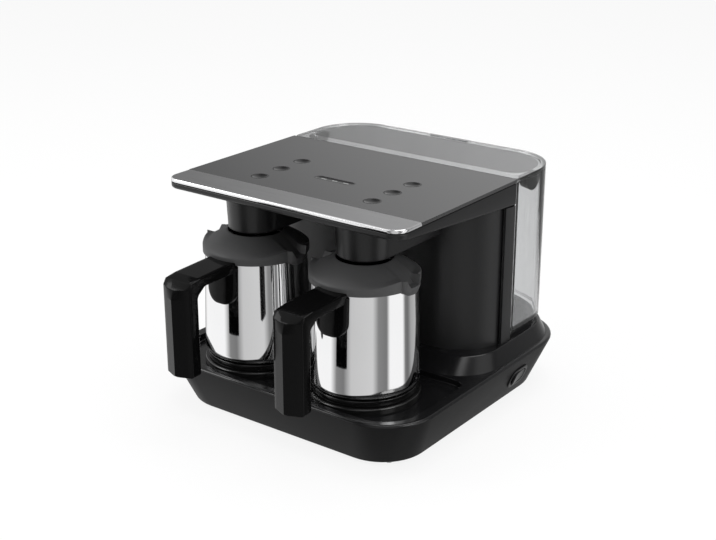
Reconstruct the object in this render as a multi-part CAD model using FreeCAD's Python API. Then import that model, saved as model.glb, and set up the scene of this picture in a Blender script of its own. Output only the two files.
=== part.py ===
import FreeCAD
import Part
import math
import os

# Electric turkish coffee maker: two pots on hot plates under two brew heads, a touch deck on
# a column, and a clear water tank behind it. Millimetres, +Z up, +Y to the rear, origin at
# the middle of the overall box on the table.

# Base
base_width = 280.0
base_height = 45.0
base_rear_margin = 8.4
base_taper = 17.7
taper_corner_share = 0.4
base_front_corner = 48.0
base_rear_corner = 57.0
base_wall = 3.0
foot_height = 3.0
foot_diameter = 18.0
foot_inset = 52.0
boss_inset = 34.0
boss_rear_inset = 39.0
screw_length = 12.0
screw_head_height = 1.8
cover_thickness = 2.5
cover_gap = 0.3
boss_diameter = 9.0
screw_diameter = 3.0
screw_head_diameter = 6.0
foot_chamfer = 0.8
gland_diameter = 11.0
gland_flange_border = 2.0
gland_flange_length = 10.0
gland_flange_sunk = 4.0
gland_inner_length = 10.0
gland_bore_diameter = 5.5
gland_x = -60.0

# Tray and platform on the base
tray_side_margin = 19.2
tray_front_margin = 2.8
tray_rear_margin = 6.2
tray_depth_below_rim = 6.0
tray_corner = 34.0
tray_rear_corner = 11.3
platform_set_back = 1.5
platform_height = 13.0
platform_ramp = 16.0
platform_foot_inset = 6.0
platform_top_inset = 13.0
tank_seat_height = 4.8

# Hot plates
pot_spacing = 119.6
hotplate_diameter = 98.0
hotplate_skirt_diameter = 84.0
hotplate_skirt_depth = 6.0
hotplate_rise = 0.3
hotplate_seal_height = 1.0
hole_gap = 0.4
heater_diameter = 60.0
heater_tube = 7.0
thermostat_diameter = 18.0
thermostat_height = 9.0
thermostat_tab_length = 26.0
thermostat_tab_width = 6.0
thermostat_tab_thickness = 1.0
hotplate_edge_radius = 1.2
heater_sweep = 320.0

# Column and rear panel
deck_width = 250.0
column_width = 244.0
column_corner = 50.0
column_depth = 56.5
column_wall = 3.0
flange_length = 17.0
panel_thickness = 2.5
fit_gap = 0.3

# Header deck
deck_depth = 178.0
deck_front_corner = 13.0
deck_overhang_of_base = 18.3
header_front_height = 9.0
header_rear_height = 24.0
header_wall = 2.5
plate_thickness = 3.0
plate_gasket = 0.8
gasket_inset = 1.2
gasket_width = 5.0
strip_depth = 30.5
strip_chamfer = 1.0
deck_above_collar = 45.0
deck_rear_corner = 1.0

# Keys, window and key board
key_diameter = 15.0
key_gap = 0.25
key_travel = 0.8
key_stem_diameter = 7.0
key_stem_length = 3.0
key_flange_diameter = 18.0
key_flange_height = 0.9
key_dish_depth = 1.1
key_pitch = 29.3
key_first_row = 52.0
key_column_spacing = 121.6
window_length = 42.0
window_width = 9.0
window_gap = 0.1
board_width = 150.0
board_depth = 92.0
board_thickness = 1.6
board_front = 36.0
board_post_diameter = 6.0
board_post_inset = 8.0
lamp_length = 36.0
lamp_width = 5.0
window_seat_depth = 0.2

# Brew heads
head_top_radius = 25.8
head_bottom_radius = 24.2
head_wall = 2.5
head_clearance_over_collar = 1.6
nozzle_diameter = 8.0
nozzle_length = 14.0
nozzle_offset = 9.0
sensor_diameter = 10.0
sensor_height = 6.0
nozzle_bore = 3.0
nozzle_flange_border = 2.5
nozzle_flange_height = 2.0
sensor_flange_border = 1.5
tube_diameter = 6.0
tube_bend = 8.0
tube_over_head_floor = 16.0
hose_bend = 10.0
hose_clearance = 12.0

# Pump and power board
pump_length = 52.0
pump_depth = 34.0
pump_height = 46.0
motor_diameter = 30.0
motor_length = 50.0
spigot_diameter = 7.0
spigot_length = 6.0
outlet_length = 20.0
outlet_spacing = 24.0
mount_thickness = 8.0
mount_border = 4.0
mount_side_border = 2.0
relay_board_length = 70.0
relay_board_depth = 60.0
relay_board_side_inset = 45.0
relay_board_set_back = 12.0
leg_height = 5.0
leg_diameter = 5.0
leg_inset = 5.0
relay_length = 19.0
relay_depth = 18.0
relay_height = 9.4
relay_inset = 10.0
transformer_length = 21.0
transformer_depth = 22.0
transformer_height = 12.4
transformer_inset = 9.0

# Pots
pot_from_deck_front = 43.5
pot_foot_radius = 48.4
pot_rim_radius = 45.0
pot_height = 96.3
pot_edge_radius = 7.0
pot_wall = 1.2
pot_ring_height = 5.8
pot_ring_radius = 46.0
pot_core_radius = 38.0
pot_lift_gap = 0.2
collar_height = 16.4
collar_opening_radius = 28.0
collar_wall = 2.0
collar_skirt = 3.2
collar_shoulder = 2.6
collar_gap = 0.15
spout_reach = 52.0
spout_width = 23.0
spout_foot_width = 12.0
spout_drop = 7.5
spout_rise = 5.5
spout_wall = 2.0

# Handles
handle_width = 30.0
handle_reach = 46.7
arm_thickness = 10.0
grip_length = 86.0
grip_depth = 17.0
grip_ridge = 6.5
shield_width = 32.0
shield_height = 40.0
shield_thickness = 3.6
handle_top_round = 13.0
handle_inner_round = 9.0
arm_fall = 2.0
arm_below_rim = 0.5
shoulder_fall = 1.6
shoulder_start = 1.6
shoulder_middle = 0.75
shoulder_low = 0.7
shoulder_front = 0.2
shoulder_end = 1.4
arm_depth_in_rim = 6.0
grip_end_chamfer = 2.0
grip_corner_share = 0.3
shield_corner_share = 0.4

# Tank and lid
tank_depth = 86.0
tank_side_margin = 0.5
tank_rear_corner = 47.0
tank_front_corner = 4.0
tank_wall = 2.5
tank_floor = 3.0
lid_thickness = 3.2
lid_rim_width = 4.0
lid_rim_recess = 1.2
lid_gap = 0.3
knuckle_length = 35.0
ear_width = 4.0
pin_diameter = 1.6
pin_fit = 0.05
grip_cup_width = 24.0
grip_cup_height = 15.0
grip_cup_depth = 7.0
socket_diameter = 26.0
socket_depth = 8.0
socket_wall = 2.5
seal_wire = 2.4
valve_stem_diameter = 6.0
valve_head_diameter = 14.0
valve_head_height = 3.0
valve_stroke = 3.0
valve_play = 0.1
grip_cup_place = 0.36
grip_cup_below_rim = 2.0
spigot_flange_border = 4.0
socket_spigot_diameter = 8.0
socket_pin_diameter = 3.0

# Power rocker
switch_length = 24.0
switch_height = 16.6
switch_from_base_front = 201.6
switch_level = 24.0
bezel_border = 2.2
bezel_proud = 0.9
rocker_gap = 0.4
rocker_tilt = 6.0
rocker_proud = 2.2
switch_block_depth = 14.0
pill_share = 0.42
rocker_lip = 2.0
rocker_hollow = 0.8
rocker_hollow_radius = 60.0
rocker_cap_depth = 1.5
pivot_half = 3.0
pivot_trim = 0.4
liner_share = 1.5
blade_pitch = 7.0
blade_thickness = 0.8
blade_width = 6.0
blade_length = 5.0

# Derived places
base_depth = deck_overhang_of_base + deck_depth + fit_gap + tank_depth + base_rear_margin
overall_length = base_depth + handle_reach
tank_width = deck_width - 2 * tank_side_margin
base_rear = overall_length / 2
base_front = base_rear - base_depth
deck_front = base_front + deck_overhang_of_base
deck_rear = deck_front + deck_depth
pot_y = deck_front + pot_from_deck_front
pot_x = pot_spacing / 2
handle_front = base_front - handle_reach
base_bottom = foot_height
rim_level = base_bottom + base_height
tray_level = rim_level - tray_depth_below_rim
tray_width = pot_spacing + hotplate_diameter + 2 * tray_side_margin
tray_front = pot_y - hotplate_diameter / 2 - tray_front_margin
tray_rear = pot_y + hotplate_diameter / 2 + tray_rear_margin
platform_front = tray_rear + platform_set_back
platform_level = rim_level + platform_height
seat_level = platform_level + tank_seat_height
hotplate_level = rim_level + hotplate_rise
pot_bottom = hotplate_level + pot_lift_gap
pot_ring_top = pot_bottom + pot_ring_height
pot_rim_level = pot_ring_top + pot_height
collar_top = pot_rim_level + collar_height
head_bottom = collar_top + head_clearance_over_collar
total_height = collar_top + deck_above_collar
plate_bottom = total_height - plate_thickness
header_top = plate_bottom - plate_gasket
column_front = deck_rear - column_depth
tank_front = deck_rear + fit_gap
tank_rear = tank_front + tank_depth
tank_bottom = seat_level + fit_gap
lid_bottom = total_height - lid_thickness
tank_top = lid_bottom - lid_gap
socket_y = (tank_front + tank_rear) / 2
cavity_top = platform_level - base_wall

os.makedirs("parts", exist_ok=True)


def vec(x, y, z):
    return FreeCAD.Vector(x, y, z)


def export(shape, name):
    """Write one piece, as a single clean shape, under its node's name."""
    shape.exportStep("parts/" + name + ".step")


def block(x0, x1, y0, y1, z0, z1):
    return Part.makeBox(x1 - x0, y1 - y0, z1 - z0, vec(x0, y0, z0))


def rod(x, y, z0, z1, diameter):
    return Part.makeCylinder(diameter / 2, z1 - z0, vec(x, y, z0))


def ring(x, y, z0, z1, outer, inner):
    return rod(x, y, z0, z1, outer).cut(rod(x, y, z0, z1, inner))


def plan_wire(x0, x1, y0, y1, front_radius, rear_radius, z):
    """Closed outline with two radii: straight sides joined by quarter arcs."""
    corners = [
        (x1, y0, front_radius, -90),
        (x1, y1, rear_radius, 0),
        (x0, y1, rear_radius, 90),
        (x0, y0, front_radius, 180),
    ]
    edges = []
    starts = []
    for x, y, radius, angle in corners:
        cx = x - radius if x > (x0 + x1) / 2 else x + radius
        cy = y - radius if y > (y0 + y1) / 2 else y + radius
        circle = Part.Circle(vec(cx, cy, z), vec(0, 0, 1), radius)
        arc = Part.Arc(circle, math.radians(angle), math.radians(angle + 90))
        starts.append((arc.StartPoint, arc.EndPoint))
        edges.append(arc.toShape())
    closed = []
    for index in range(4):
        closed.append(edges[index])
        here = starts[index][1]
        there = starts[(index + 1) % 4][0]
        if here.distanceToPoint(there) > 1e-6:
            closed.append(Part.LineSegment(here, there).toShape())
    return Part.Wire(closed)


def plan_prism(x0, x1, y0, y1, front_radius, rear_radius, z0, z1):
    wire = plan_wire(x0, x1, y0, y1, front_radius, rear_radius, z0)
    return Part.Face(wire).extrude(vec(0, 0, z1 - z0))


def plan_loft(low, high):
    """Straight walled loft between two plan outlines with the same kind of corners."""
    return Part.makeLoft([plan_wire(*low), plan_wire(*high)], True, True)


def profile_prism(points, x0, x1):
    """A closed (y, z) polygon carried along X."""
    ring_points = [vec(x0, y, z) for y, z in points]
    wire = Part.makePolygon(ring_points + [ring_points[0]])
    return Part.Face(wire).extrude(vec(x1 - x0, 0, 0))


def mirrored(shape):
    return shape.mirror(vec(0, 0, 0), vec(1, 0, 0))


def tube_along(points, diameter, bend):
    """Round tube on straight runs joined by tangent arcs."""
    edges = []
    start = vec(*points[0])
    for index in range(1, len(points) - 1):
        corner = vec(*points[index])
        into = (corner - vec(*points[index - 1])).normalize()
        away = (vec(*points[index + 1]) - corner).normalize()
        turn = into.getAngle(away)
        reach = bend * math.tan(turn / 2)
        first = corner - into * reach
        last = corner + away * reach
        bulge = (away - into).normalize()
        middle = corner + bulge * (bend / math.cos(turn / 2) - bend)
        edges.append(Part.LineSegment(start, first).toShape())
        edges.append(Part.Arc(first, middle, last).toShape())
        start = last
    edges.append(Part.LineSegment(start, vec(*points[-1])).toShape())
    path = Part.Wire(edges)
    heading = (vec(*points[1]) - vec(*points[0])).normalize()
    section = Part.Wire(Part.Circle(vec(*points[0]), heading, diameter / 2).toShape())
    return path.makePipeShell([section], True, False)


# Base housing

def base_outline(inset, share):
    """Outline arguments at a share of the wall height: 0 at the bottom, 1 at the rim."""
    taper = base_taper * (1 - share)
    half = base_width / 2 - taper - inset
    return (
        -half,
        half,
        base_front + taper + inset,
        base_rear - taper - inset,
        base_front_corner - taper * taper_corner_share - inset,
        base_rear_corner - taper * taper_corner_share - inset,
        base_bottom + base_height * share,
    )


def platform_outline(inset, front, level):
    half = base_width / 2 - inset
    return (-half, half, front, base_rear - inset, base_front_corner - inset,
            base_rear_corner - inset, level)


def four_places(front_inset, rear_inset):
    """One place near each corner of the base, the front pair and the rear pair each with its inset."""
    return [
        (side * (base_width / 2 - inset), y)
        for side in (-1, 1)
        for inset, y in ((front_inset, base_front + front_inset), (rear_inset, base_rear - rear_inset))
    ]


bosses = four_places(boss_inset, boss_rear_inset)
feet = four_places(foot_inset, foot_inset)
gland_level = base_bottom + base_height / 2
wall_slope = math.degrees(math.atan(base_taper / base_height))
switch_y = base_front + switch_from_base_front
switch_share = (switch_level - base_bottom) / base_height
switch_x = base_width / 2 - base_taper * (1 - switch_share)


def on_wall(shape):
    """Place a piece made round the origin, facing +X, on the sloping right wall."""
    placed = shape.copy()
    placed.rotate(vec(0, 0, 0), vec(0, 1, 0), wall_slope)
    placed.translate(vec(switch_x, switch_y, switch_level))
    return placed


def pill(depth_from, depth_to, length, height, radius):
    """Rounded block facing +X: length along Y, height along Z."""
    body = block(depth_from, depth_to, -length / 2, length / 2, -height / 2, height / 2)
    edges = [edge for edge in body.Edges if abs(edge.tangentAt(edge.FirstParameter).x) > 0.99]
    return body.makeFillet(radius, edges)


bezel_length = switch_length + 2 * bezel_border
bezel_height = switch_height + 2 * bezel_border
switch_opening = pill(-base_wall * 3, base_wall * 3, switch_length, switch_height, switch_height * pill_share)
liner_depth = base_wall * liner_share


def cavity_under_platform():
    """Room below the platform's ceiling, open to the base underneath."""
    start = platform_front + platform_ramp
    return plan_loft(
        platform_outline(platform_foot_inset + base_wall * 2, start, tray_level - base_wall),
        platform_outline(platform_top_inset + base_wall, start + base_wall, cavity_top),
    )


def boss(x, y, top):
    """Post that a bottom screw is driven into."""
    return rod(x, y, base_bottom + cover_thickness + cover_gap, top, boss_diameter)


def screw_hole(x, y):
    return rod(x, y, base_bottom, base_bottom + screw_length, screw_diameter)


def base_housing():
    """Tub with the sunk tray in front and an opening under the platform behind."""
    outer = plan_loft(base_outline(0, 0), base_outline(0, 1))
    hollow_top = (tray_level - base_wall - base_bottom) / base_height
    hollow = plan_loft(base_outline(base_wall, 0), base_outline(base_wall, hollow_top))
    tray = plan_prism(
        -tray_width / 2, tray_width / 2, tray_front, tray_rear,
        tray_corner, tray_rear_corner, tray_level, rim_level + platform_height,
    )
    body = outer.cut(tray).cut(hollow).cut(cavity_under_platform())
    for side in (-1, 1):
        hole = hotplate_skirt_diameter + 2 * hole_gap
        body = body.cut(rod(side * pot_x, pot_y, tray_level - base_wall, tray_level, hole))
    body = body.cut(on_wall(switch_opening))
    gland_hole = Part.makeCylinder(gland_diameter / 2 + pin_fit, base_wall * 6,
                                   vec(gland_x, base_rear - base_wall * 6, gland_level), vec(0, 1, 0))
    body = body.cut(gland_hole)
    for x, y in bosses:
        if y < tray_rear:
            body = body.fuse([boss(x, y, tray_level - base_wall / 2)]).cut(screw_hole(x, y))
    return body.removeSplitter()


def rear_platform():
    """Hollow step on the base's rim: its ramp in front, the tank's seat on top, two bosses below."""
    platform = plan_loft(
        platform_outline(platform_foot_inset, platform_front, rim_level),
        platform_outline(platform_top_inset, platform_front + platform_ramp, platform_level),
    )
    seat = plan_prism(
        -tank_width / 2 + tank_wall, tank_width / 2 - tank_wall,
        tank_front + tank_wall, base_rear - platform_top_inset - tank_wall,
        tank_front_corner, tank_rear_corner - tank_wall,
        platform_level - base_wall, seat_level,
    )
    body = platform.cut(cavity_under_platform()).fuse([seat])
    body = body.cut(rod(0, socket_y, cavity_top - base_wall, seat_level, socket_diameter + 2 * hole_gap))
    body = body.cut(rod(0, pump_y, cavity_top, platform_level, tube_diameter + 4 * hole_gap))
    for x, y in bosses:
        if y > tray_rear:
            body = body.fuse([boss(x, y, cavity_top + base_wall / 2)]).cut(screw_hole(x, y))
    return body.removeSplitter()


def bottom_cover():
    share = cover_thickness / base_height
    inset = base_wall + cover_gap
    plate = plan_loft(base_outline(inset, 0), base_outline(inset, share))
    for x, y in bosses:
        plate = plate.cut(rod(x, y, base_bottom, base_bottom + cover_thickness, screw_diameter + hole_gap))
    return plate


def rubber_feet():
    pads = []
    for x, y in feet:
        pad = rod(x, y, 0, foot_height, foot_diameter)
        rim = [edge for edge in pad.Edges if abs(edge.CenterOfMass.z) < 1e-6]
        pads.append(pad.makeChamfer(foot_chamfer, rim))
    return Part.makeCompound(pads)


def bottom_screws():
    screws = []
    for x, y in bosses:
        shank = rod(x, y, base_bottom, base_bottom + screw_length, screw_diameter)
        head = rod(x, y, base_bottom - screw_head_height, base_bottom, screw_head_diameter)
        screws.append(shank.fuse([head]).removeSplitter())
    return Part.makeCompound(screws)


def mains_gland():
    """Flanged bush in the rear wall of the base where the mains cord enters."""
    axis = vec(0, 1, 0)
    share = (gland_level - base_bottom) / base_height
    wall_y = base_rear - base_taper * (1 - share)
    inner = wall_y + gland_flange_sunk - gland_inner_length
    bush = Part.makeCylinder(gland_diameter / 2, gland_inner_length, vec(gland_x, inner, gland_level), axis)
    flange = Part.makeCylinder(gland_diameter / 2 + gland_flange_border, gland_flange_length,
                               vec(gland_x, wall_y - gland_flange_sunk, gland_level), axis)
    flange = flange.cut(plan_loft(base_outline(0, 0), base_outline(0, 1)))
    bore = Part.makeCylinder(gland_bore_diameter / 2, gland_inner_length + gland_flange_length,
                             vec(gland_x, inner, gland_level), axis)
    return bush.fuse([flange]).cut(bore).removeSplitter()


def power_board():
    """Board that carries the relay and the transformer, on legs over the bottom cover."""
    low = base_bottom + cover_thickness
    z = low + leg_height
    top = z + board_thickness
    x0 = -base_width / 2 + relay_board_side_inset
    x1 = x0 + relay_board_length
    y0 = platform_front + platform_ramp + relay_board_set_back
    y1 = y0 + relay_board_depth
    board = block(x0, x1, y0, y1, z, top)
    legs = [
        rod(x, y, low, z, leg_diameter)
        for x in (x0 + leg_inset, x1 - leg_inset)
        for y in (y0 + leg_inset, y1 - leg_inset)
    ]
    relay = block(x0 + relay_inset, x0 + relay_inset + relay_length,
                  y0 + relay_inset, y0 + relay_inset + relay_depth, top, top + relay_height)
    far = x1 - transformer_inset
    back = y1 - transformer_inset
    transformer = block(far - transformer_length, far, back - transformer_depth, back,
                        top, top + transformer_height)
    return board.fuse(legs + [relay, transformer]).removeSplitter()


# Hot plates

def hotplate(x):
    low = tray_level + hotplate_seal_height
    disc = rod(x, pot_y, low, hotplate_level, hotplate_diameter)
    top = [edge for edge in disc.Edges if abs(edge.CenterOfMass.z - hotplate_level) < 1e-6]
    disc = disc.makeFillet(hotplate_edge_radius, top)
    skirt = rod(x, pot_y, tray_level - hotplate_skirt_depth, low, hotplate_skirt_diameter)
    return disc.fuse([skirt]).removeSplitter()


def hotplate_seal(x):
    return ring(x, pot_y, tray_level, tray_level + hotplate_seal_height,
                hotplate_diameter - 1, hotplate_skirt_diameter + 2 * hole_gap)


def heater(x):
    """Tube element brazed under the hot plate, open by a sector for its two ends."""
    level = tray_level - hotplate_skirt_depth - heater_tube / 2
    loop = Part.makeTorus(heater_diameter / 2, heater_tube / 2, vec(x, pot_y, level), vec(0, 0, 1),
                          -180, 180, heater_sweep)
    return loop


def thermostat(x):
    top = tray_level - hotplate_skirt_depth
    cup = rod(x, pot_y, top - thermostat_height, top, thermostat_diameter)
    low = top - thermostat_height
    tabs = block(x - thermostat_tab_length / 2, x + thermostat_tab_length / 2,
                 pot_y - thermostat_tab_width / 2, pot_y + thermostat_tab_width / 2,
                 low, low + thermostat_tab_thickness)
    return cup.fuse([tabs]).removeSplitter()


# Power rocker

def switch_bezel():
    frame = pill(fit_gap, bezel_proud + fit_gap, bezel_length, bezel_height, bezel_height * pill_share)
    liner = pill(-liner_depth, bezel_proud + fit_gap, switch_length - 2 * pin_fit,
                 switch_height - 2 * pin_fit, switch_height * pill_share - pin_fit)
    inside = pill(-liner_depth - 1, base_wall, switch_length - rocker_lip, switch_height - rocker_lip,
                  switch_height * pill_share - rocker_lip / 2)
    return on_wall(frame.fuse([liner]).cut(inside).removeSplitter())


def power_rocker():
    """Rocker cap on its cross pin, resting with its front end pressed, its face hollowed."""
    length = switch_length - rocker_lip - 2 * rocker_gap
    height = switch_height - rocker_lip - 2 * rocker_gap
    cap = pill(-rocker_cap_depth, rocker_proud, length, height, height * pill_share)
    centre = rocker_proud - rocker_hollow + rocker_hollow_radius
    cap = cap.cut(Part.makeCylinder(rocker_hollow_radius, height * 2, vec(centre, 0, -height), vec(0, 0, 1)))
    deep = -rocker_cap_depth - 1
    trim = block(deep, -pivot_trim, -length, -pivot_half, -height, height)
    trim = trim.fuse([block(deep, -pivot_trim, pivot_half, length, -height, height)])
    cap = cap.cut(trim)
    cap.rotate(vec(0, 0, 0), vec(0, 0, 1), rocker_tilt)
    return on_wall(cap)


def switch_block():
    """Contact block behind the rocker, clipped to the bezel's liner, with three blades."""
    back = -liner_depth - fit_gap
    rear = back - switch_block_depth
    body = pill(rear, back, switch_length - 2 * rocker_lip, switch_height - rocker_lip, rocker_lip)
    blades = [
        block(rear - blade_length, rear, y - blade_thickness / 2, y + blade_thickness / 2,
              -blade_width / 2, blade_width / 2)
        for y in (-blade_pitch, 0, blade_pitch)
    ]
    return on_wall(body.fuse(blades).removeSplitter())


# Column, rear panel and header

def header_underside(y):
    """Height of the header's sloping underside above the table."""
    share = (y - deck_front) / deck_depth
    return total_height - header_front_height - (header_rear_height - header_front_height) * share


def under_header(gap):
    """Everything below the header's underside, lowered by a gap."""
    y0 = deck_front - deck_overhang_of_base
    y1 = deck_rear + deck_overhang_of_base
    points = [(y0, 0), (y1, 0), (y1, header_underside(y1) - gap), (y0, header_underside(y0) - gap)]
    return profile_prism(points, -deck_width, deck_width)


pump_y = (column_front + deck_rear) / 2
well_radius = socket_diameter / 2 - socket_wall
pump_level = platform_level + mount_thickness
pump_top = pump_level + pump_height
tube_level = head_bottom + tube_over_head_floor
tube_start = pump_top + outlet_length
outlet_x = outlet_spacing / 2


def column_housing():
    rear = deck_rear - panel_thickness - fit_gap
    outer = plan_prism(-column_width / 2, column_width / 2, column_front, rear + column_corner,
                       column_corner, column_corner, platform_level, total_height)
    inner_half = column_width / 2 - column_wall
    inner = plan_prism(-inner_half, inner_half, column_front + column_wall, rear + column_corner * 2,
                       column_corner - column_wall, column_corner, platform_level, total_height)
    keep = block(-column_width, column_width, column_front - 1, rear, platform_level, total_height)
    body = outer.cut(inner).common(keep).common(under_header(0))
    for side in (-1, 1):
        hole = Part.makeCylinder(tube_diameter / 2 + 1, column_wall * 4,
                                 vec(side * pot_x, column_front - column_wall, tube_level), vec(0, 1, 0))
        body = body.cut(hole)
    return body


def rear_panel():
    """Channel behind the column: a full width back with a flange down each side."""
    half = deck_width / 2
    back = block(-half, half, deck_rear - panel_thickness, deck_rear, platform_level, total_height)
    flange = block(half - panel_thickness, half, deck_rear - flange_length, deck_rear,
                   platform_level, total_height)
    return back.fuse([flange, mirrored(flange)]).common(under_header(0)).removeSplitter()


def header_outer():
    half = deck_width / 2
    plan = plan_prism(-half, half, deck_front, deck_rear, deck_front_corner, deck_rear_corner, 0, header_top)
    return plan.cut(under_header(0))


def header_housing():
    half = deck_width / 2 - header_wall
    inner = plan_prism(-half, half, deck_front + header_wall, deck_rear - header_wall,
                       deck_front_corner - header_wall, deck_rear_corner, 0, total_height)
    lifted = under_header(-header_wall)
    body = header_outer().cut(inner.cut(lifted))
    floor = board_level()
    post_x = board_width / 2 - board_post_inset
    for x in (-post_x, post_x):
        for y in (board_front + board_post_inset, board_front + board_depth - board_post_inset):
            post = rod(x, deck_front + y, header_underside(deck_rear), floor, board_post_diameter)
            body = body.fuse([post.cut(under_header(-header_wall / 2))])
    return body.removeSplitter()


def board_level():
    """Underside of the key board, below the keys' stems at full travel."""
    return plate_bottom - key_stem_length - key_travel - fit_gap - board_thickness


def plate_seal():
    half = deck_width / 2 - gasket_inset
    outer = plan_prism(-half, half, deck_front + gasket_inset, deck_rear - gasket_inset,
                       deck_front_corner - gasket_inset, deck_rear_corner, header_top, plate_bottom)
    half = half - gasket_width
    inset = gasket_inset + gasket_width
    inner = plan_prism(-half, half, deck_front + inset, deck_rear - inset,
                       deck_front_corner - inset, deck_rear_corner, header_top, plate_bottom)
    return outer.cut(inner)


def deck_plan(z0, z1):
    half = deck_width / 2
    return plan_prism(-half, half, deck_front, deck_rear, deck_front_corner, deck_rear_corner, z0, z1)


def front_strip():
    cutter = block(-deck_width, deck_width, deck_front - 1, deck_front + strip_depth, 0, total_height)
    strip = deck_plan(plate_bottom, total_height).common(cutter)
    edges = [
        edge for edge in strip.Edges
        if abs(edge.CenterOfMass.z - total_height) < 1e-6 and edge.CenterOfMass.y < deck_front + 5
    ]
    return strip.makeChamfer(strip_chamfer, edges)


def key_places():
    """Three keys each side, numbered from the front."""
    places = []
    for side_name, side in (("left", -1), ("right", 1)):
        for row in range(3):
            x = side * key_column_spacing / 2
            y = deck_front + key_first_row + key_pitch * row
            places.append(("key_" + side_name + "_" + str(row + 1), x, y))
    return places


window_y = deck_front + key_first_row + key_pitch - 0.8


def window_prism(gap, z0, z1):
    half = window_length / 2 + gap
    wide = window_width / 2 + gap
    return plan_prism(-half, half, window_y - wide, window_y + wide, wide - 0.01, wide - 0.01, z0, z1)


def control_plate():
    cutter = block(-deck_width, deck_width, deck_front + strip_depth + pin_fit, deck_rear + 1,
                   0, total_height)
    plate = deck_plan(plate_bottom, total_height).common(cutter)
    for name, x, y in key_places():
        plate = plate.cut(rod(x, y, plate_bottom, total_height, key_diameter + 2 * key_gap))
    return plate.cut(window_prism(window_gap, plate_bottom, total_height))


def display_window():
    return window_prism(0, plate_bottom - window_seat_depth, total_height)


def key(x, y):
    """Round key with a dished top, a retaining flange and a stem over its switch."""
    cap = rod(x, y, plate_bottom, total_height, key_diameter)
    dish_radius = ((key_diameter / 2 - 0.8) ** 2 + key_dish_depth ** 2) / (2 * key_dish_depth)
    dish = Part.makeSphere(dish_radius, vec(x, y, total_height - key_dish_depth + dish_radius))
    flange = rod(x, y, plate_bottom - fit_gap - key_flange_height, plate_bottom - fit_gap,
                 key_flange_diameter)
    neck = rod(x, y, plate_bottom - fit_gap, plate_bottom, key_diameter)
    stem = rod(x, y, plate_bottom - key_stem_length, plate_bottom - fit_gap, key_stem_diameter)
    return cap.fuse([neck, flange, stem]).cut(dish).removeSplitter()


def key_board():
    z = board_level()
    half = board_width / 2
    board = block(-half, half, deck_front + board_front, deck_front + board_front + board_depth,
                  z, z + board_thickness)
    lamp = block(-lamp_length / 2, lamp_length / 2, window_y - lamp_width / 2, window_y + lamp_width / 2,
                 z + board_thickness, plate_bottom - window_seat_depth)
    return board.fuse([lamp]).removeSplitter()


# Brew heads

def head_plan(x, radius, y1, z):
    """Stadium outline with a round nose over the pot, running back to the column."""
    nose = Part.Arc(vec(x - radius, pot_y, z), vec(x, pot_y - radius, z), vec(x + radius, pot_y, z))
    right = Part.LineSegment(vec(x + radius, pot_y, z), vec(x + radius, y1, z))
    back = Part.LineSegment(vec(x + radius, y1, z), vec(x - radius, y1, z))
    left = Part.LineSegment(vec(x - radius, y1, z), vec(x - radius, pot_y, z))
    return Part.Wire([nose.toShape(), right.toShape(), back.toShape(), left.toShape()])


def head_loft(x, shrink, y1, z0):
    low = head_plan(x, head_bottom_radius - shrink, y1, z0)
    high = head_plan(x, head_top_radius - shrink, y1, total_height)
    return Part.makeLoft([low, high], True, True)


def nozzle_y():
    return pot_y - nozzle_offset / 2


def brew_head(x):
    back = column_front - fit_gap / 2
    outer = head_loft(x, 0, back, head_bottom)
    hollow = head_loft(x, head_wall, back + 1, head_bottom + head_wall)
    body = outer.cut(hollow).common(under_header(0))
    body = body.cut(rod(x, nozzle_y(), head_bottom, head_bottom + head_wall, nozzle_diameter))
    sensor_hole = rod(x, pot_y + nozzle_offset, head_bottom, head_bottom + head_wall, sensor_diameter)
    return body.cut(sensor_hole)


def water_nozzle(x):
    y = nozzle_y()
    body = rod(x, y, head_bottom, head_bottom + nozzle_length, nozzle_diameter)
    floor = head_bottom + head_wall
    collar = rod(x, y, floor, floor + nozzle_flange_height, nozzle_diameter + 2 * nozzle_flange_border)
    bore = rod(x, y, head_bottom, head_bottom + nozzle_length - 2 * nozzle_flange_height, nozzle_bore)
    return body.fuse([collar]).cut(bore).removeSplitter()


def overflow_sensor(x):
    y = pot_y + nozzle_offset
    lens = rod(x, y, head_bottom, head_bottom + sensor_height, sensor_diameter)
    flange = rod(x, y, head_bottom + head_wall, head_bottom + sensor_height,
                 sensor_diameter + 2 * sensor_flange_border)
    beside = rod(x, nozzle_y(), head_bottom, head_bottom + nozzle_length,
                 nozzle_diameter + 2 * (nozzle_flange_border + valve_play))
    return lens.fuse([flange]).cut(beside)


def water_tube(side):
    """Silicone tube from a pump outlet, out to the side, forward and down to the nozzle."""
    x = side * pot_x
    y = nozzle_y()
    points = [
        (side * outlet_x, pump_y, tube_start),
        (side * outlet_x, pump_y, tube_level),
        (x, pump_y, tube_level),
        (x, y, tube_level),
        (x, y, head_bottom + nozzle_length + pin_fit),
    ]
    return tube_along(points, tube_diameter, tube_bend)


# Pump and inlet

def water_pump():
    half = pump_length / 2
    deep = pump_depth / 2
    body = block(-half, half, pump_y - deep, pump_y + deep, pump_level, pump_top)
    motor = Part.makeCylinder(motor_diameter / 2, motor_length,
                              vec(-motor_length / 2, pump_y, pump_top - motor_diameter / 2), vec(1, 0, 0))
    outlets = [rod(side * outlet_x, pump_y, pump_top, tube_start, spigot_diameter) for side in (-1, 1)]
    inlet = rod(0, pump_y, pump_level - spigot_length, pump_level, spigot_diameter)
    return body.fuse([motor] + outlets + [inlet]).removeSplitter()


def pump_mount():
    """Rubber pad under the pump with a clear hole for the inlet hose."""
    half = pump_length / 2 + mount_border
    deep = pump_depth / 2 + mount_side_border
    pad = block(-half, half, pump_y - deep, pump_y + deep, platform_level, pump_level)
    return pad.cut(rod(0, pump_y, platform_level, pump_level, tube_diameter * 2))


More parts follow.
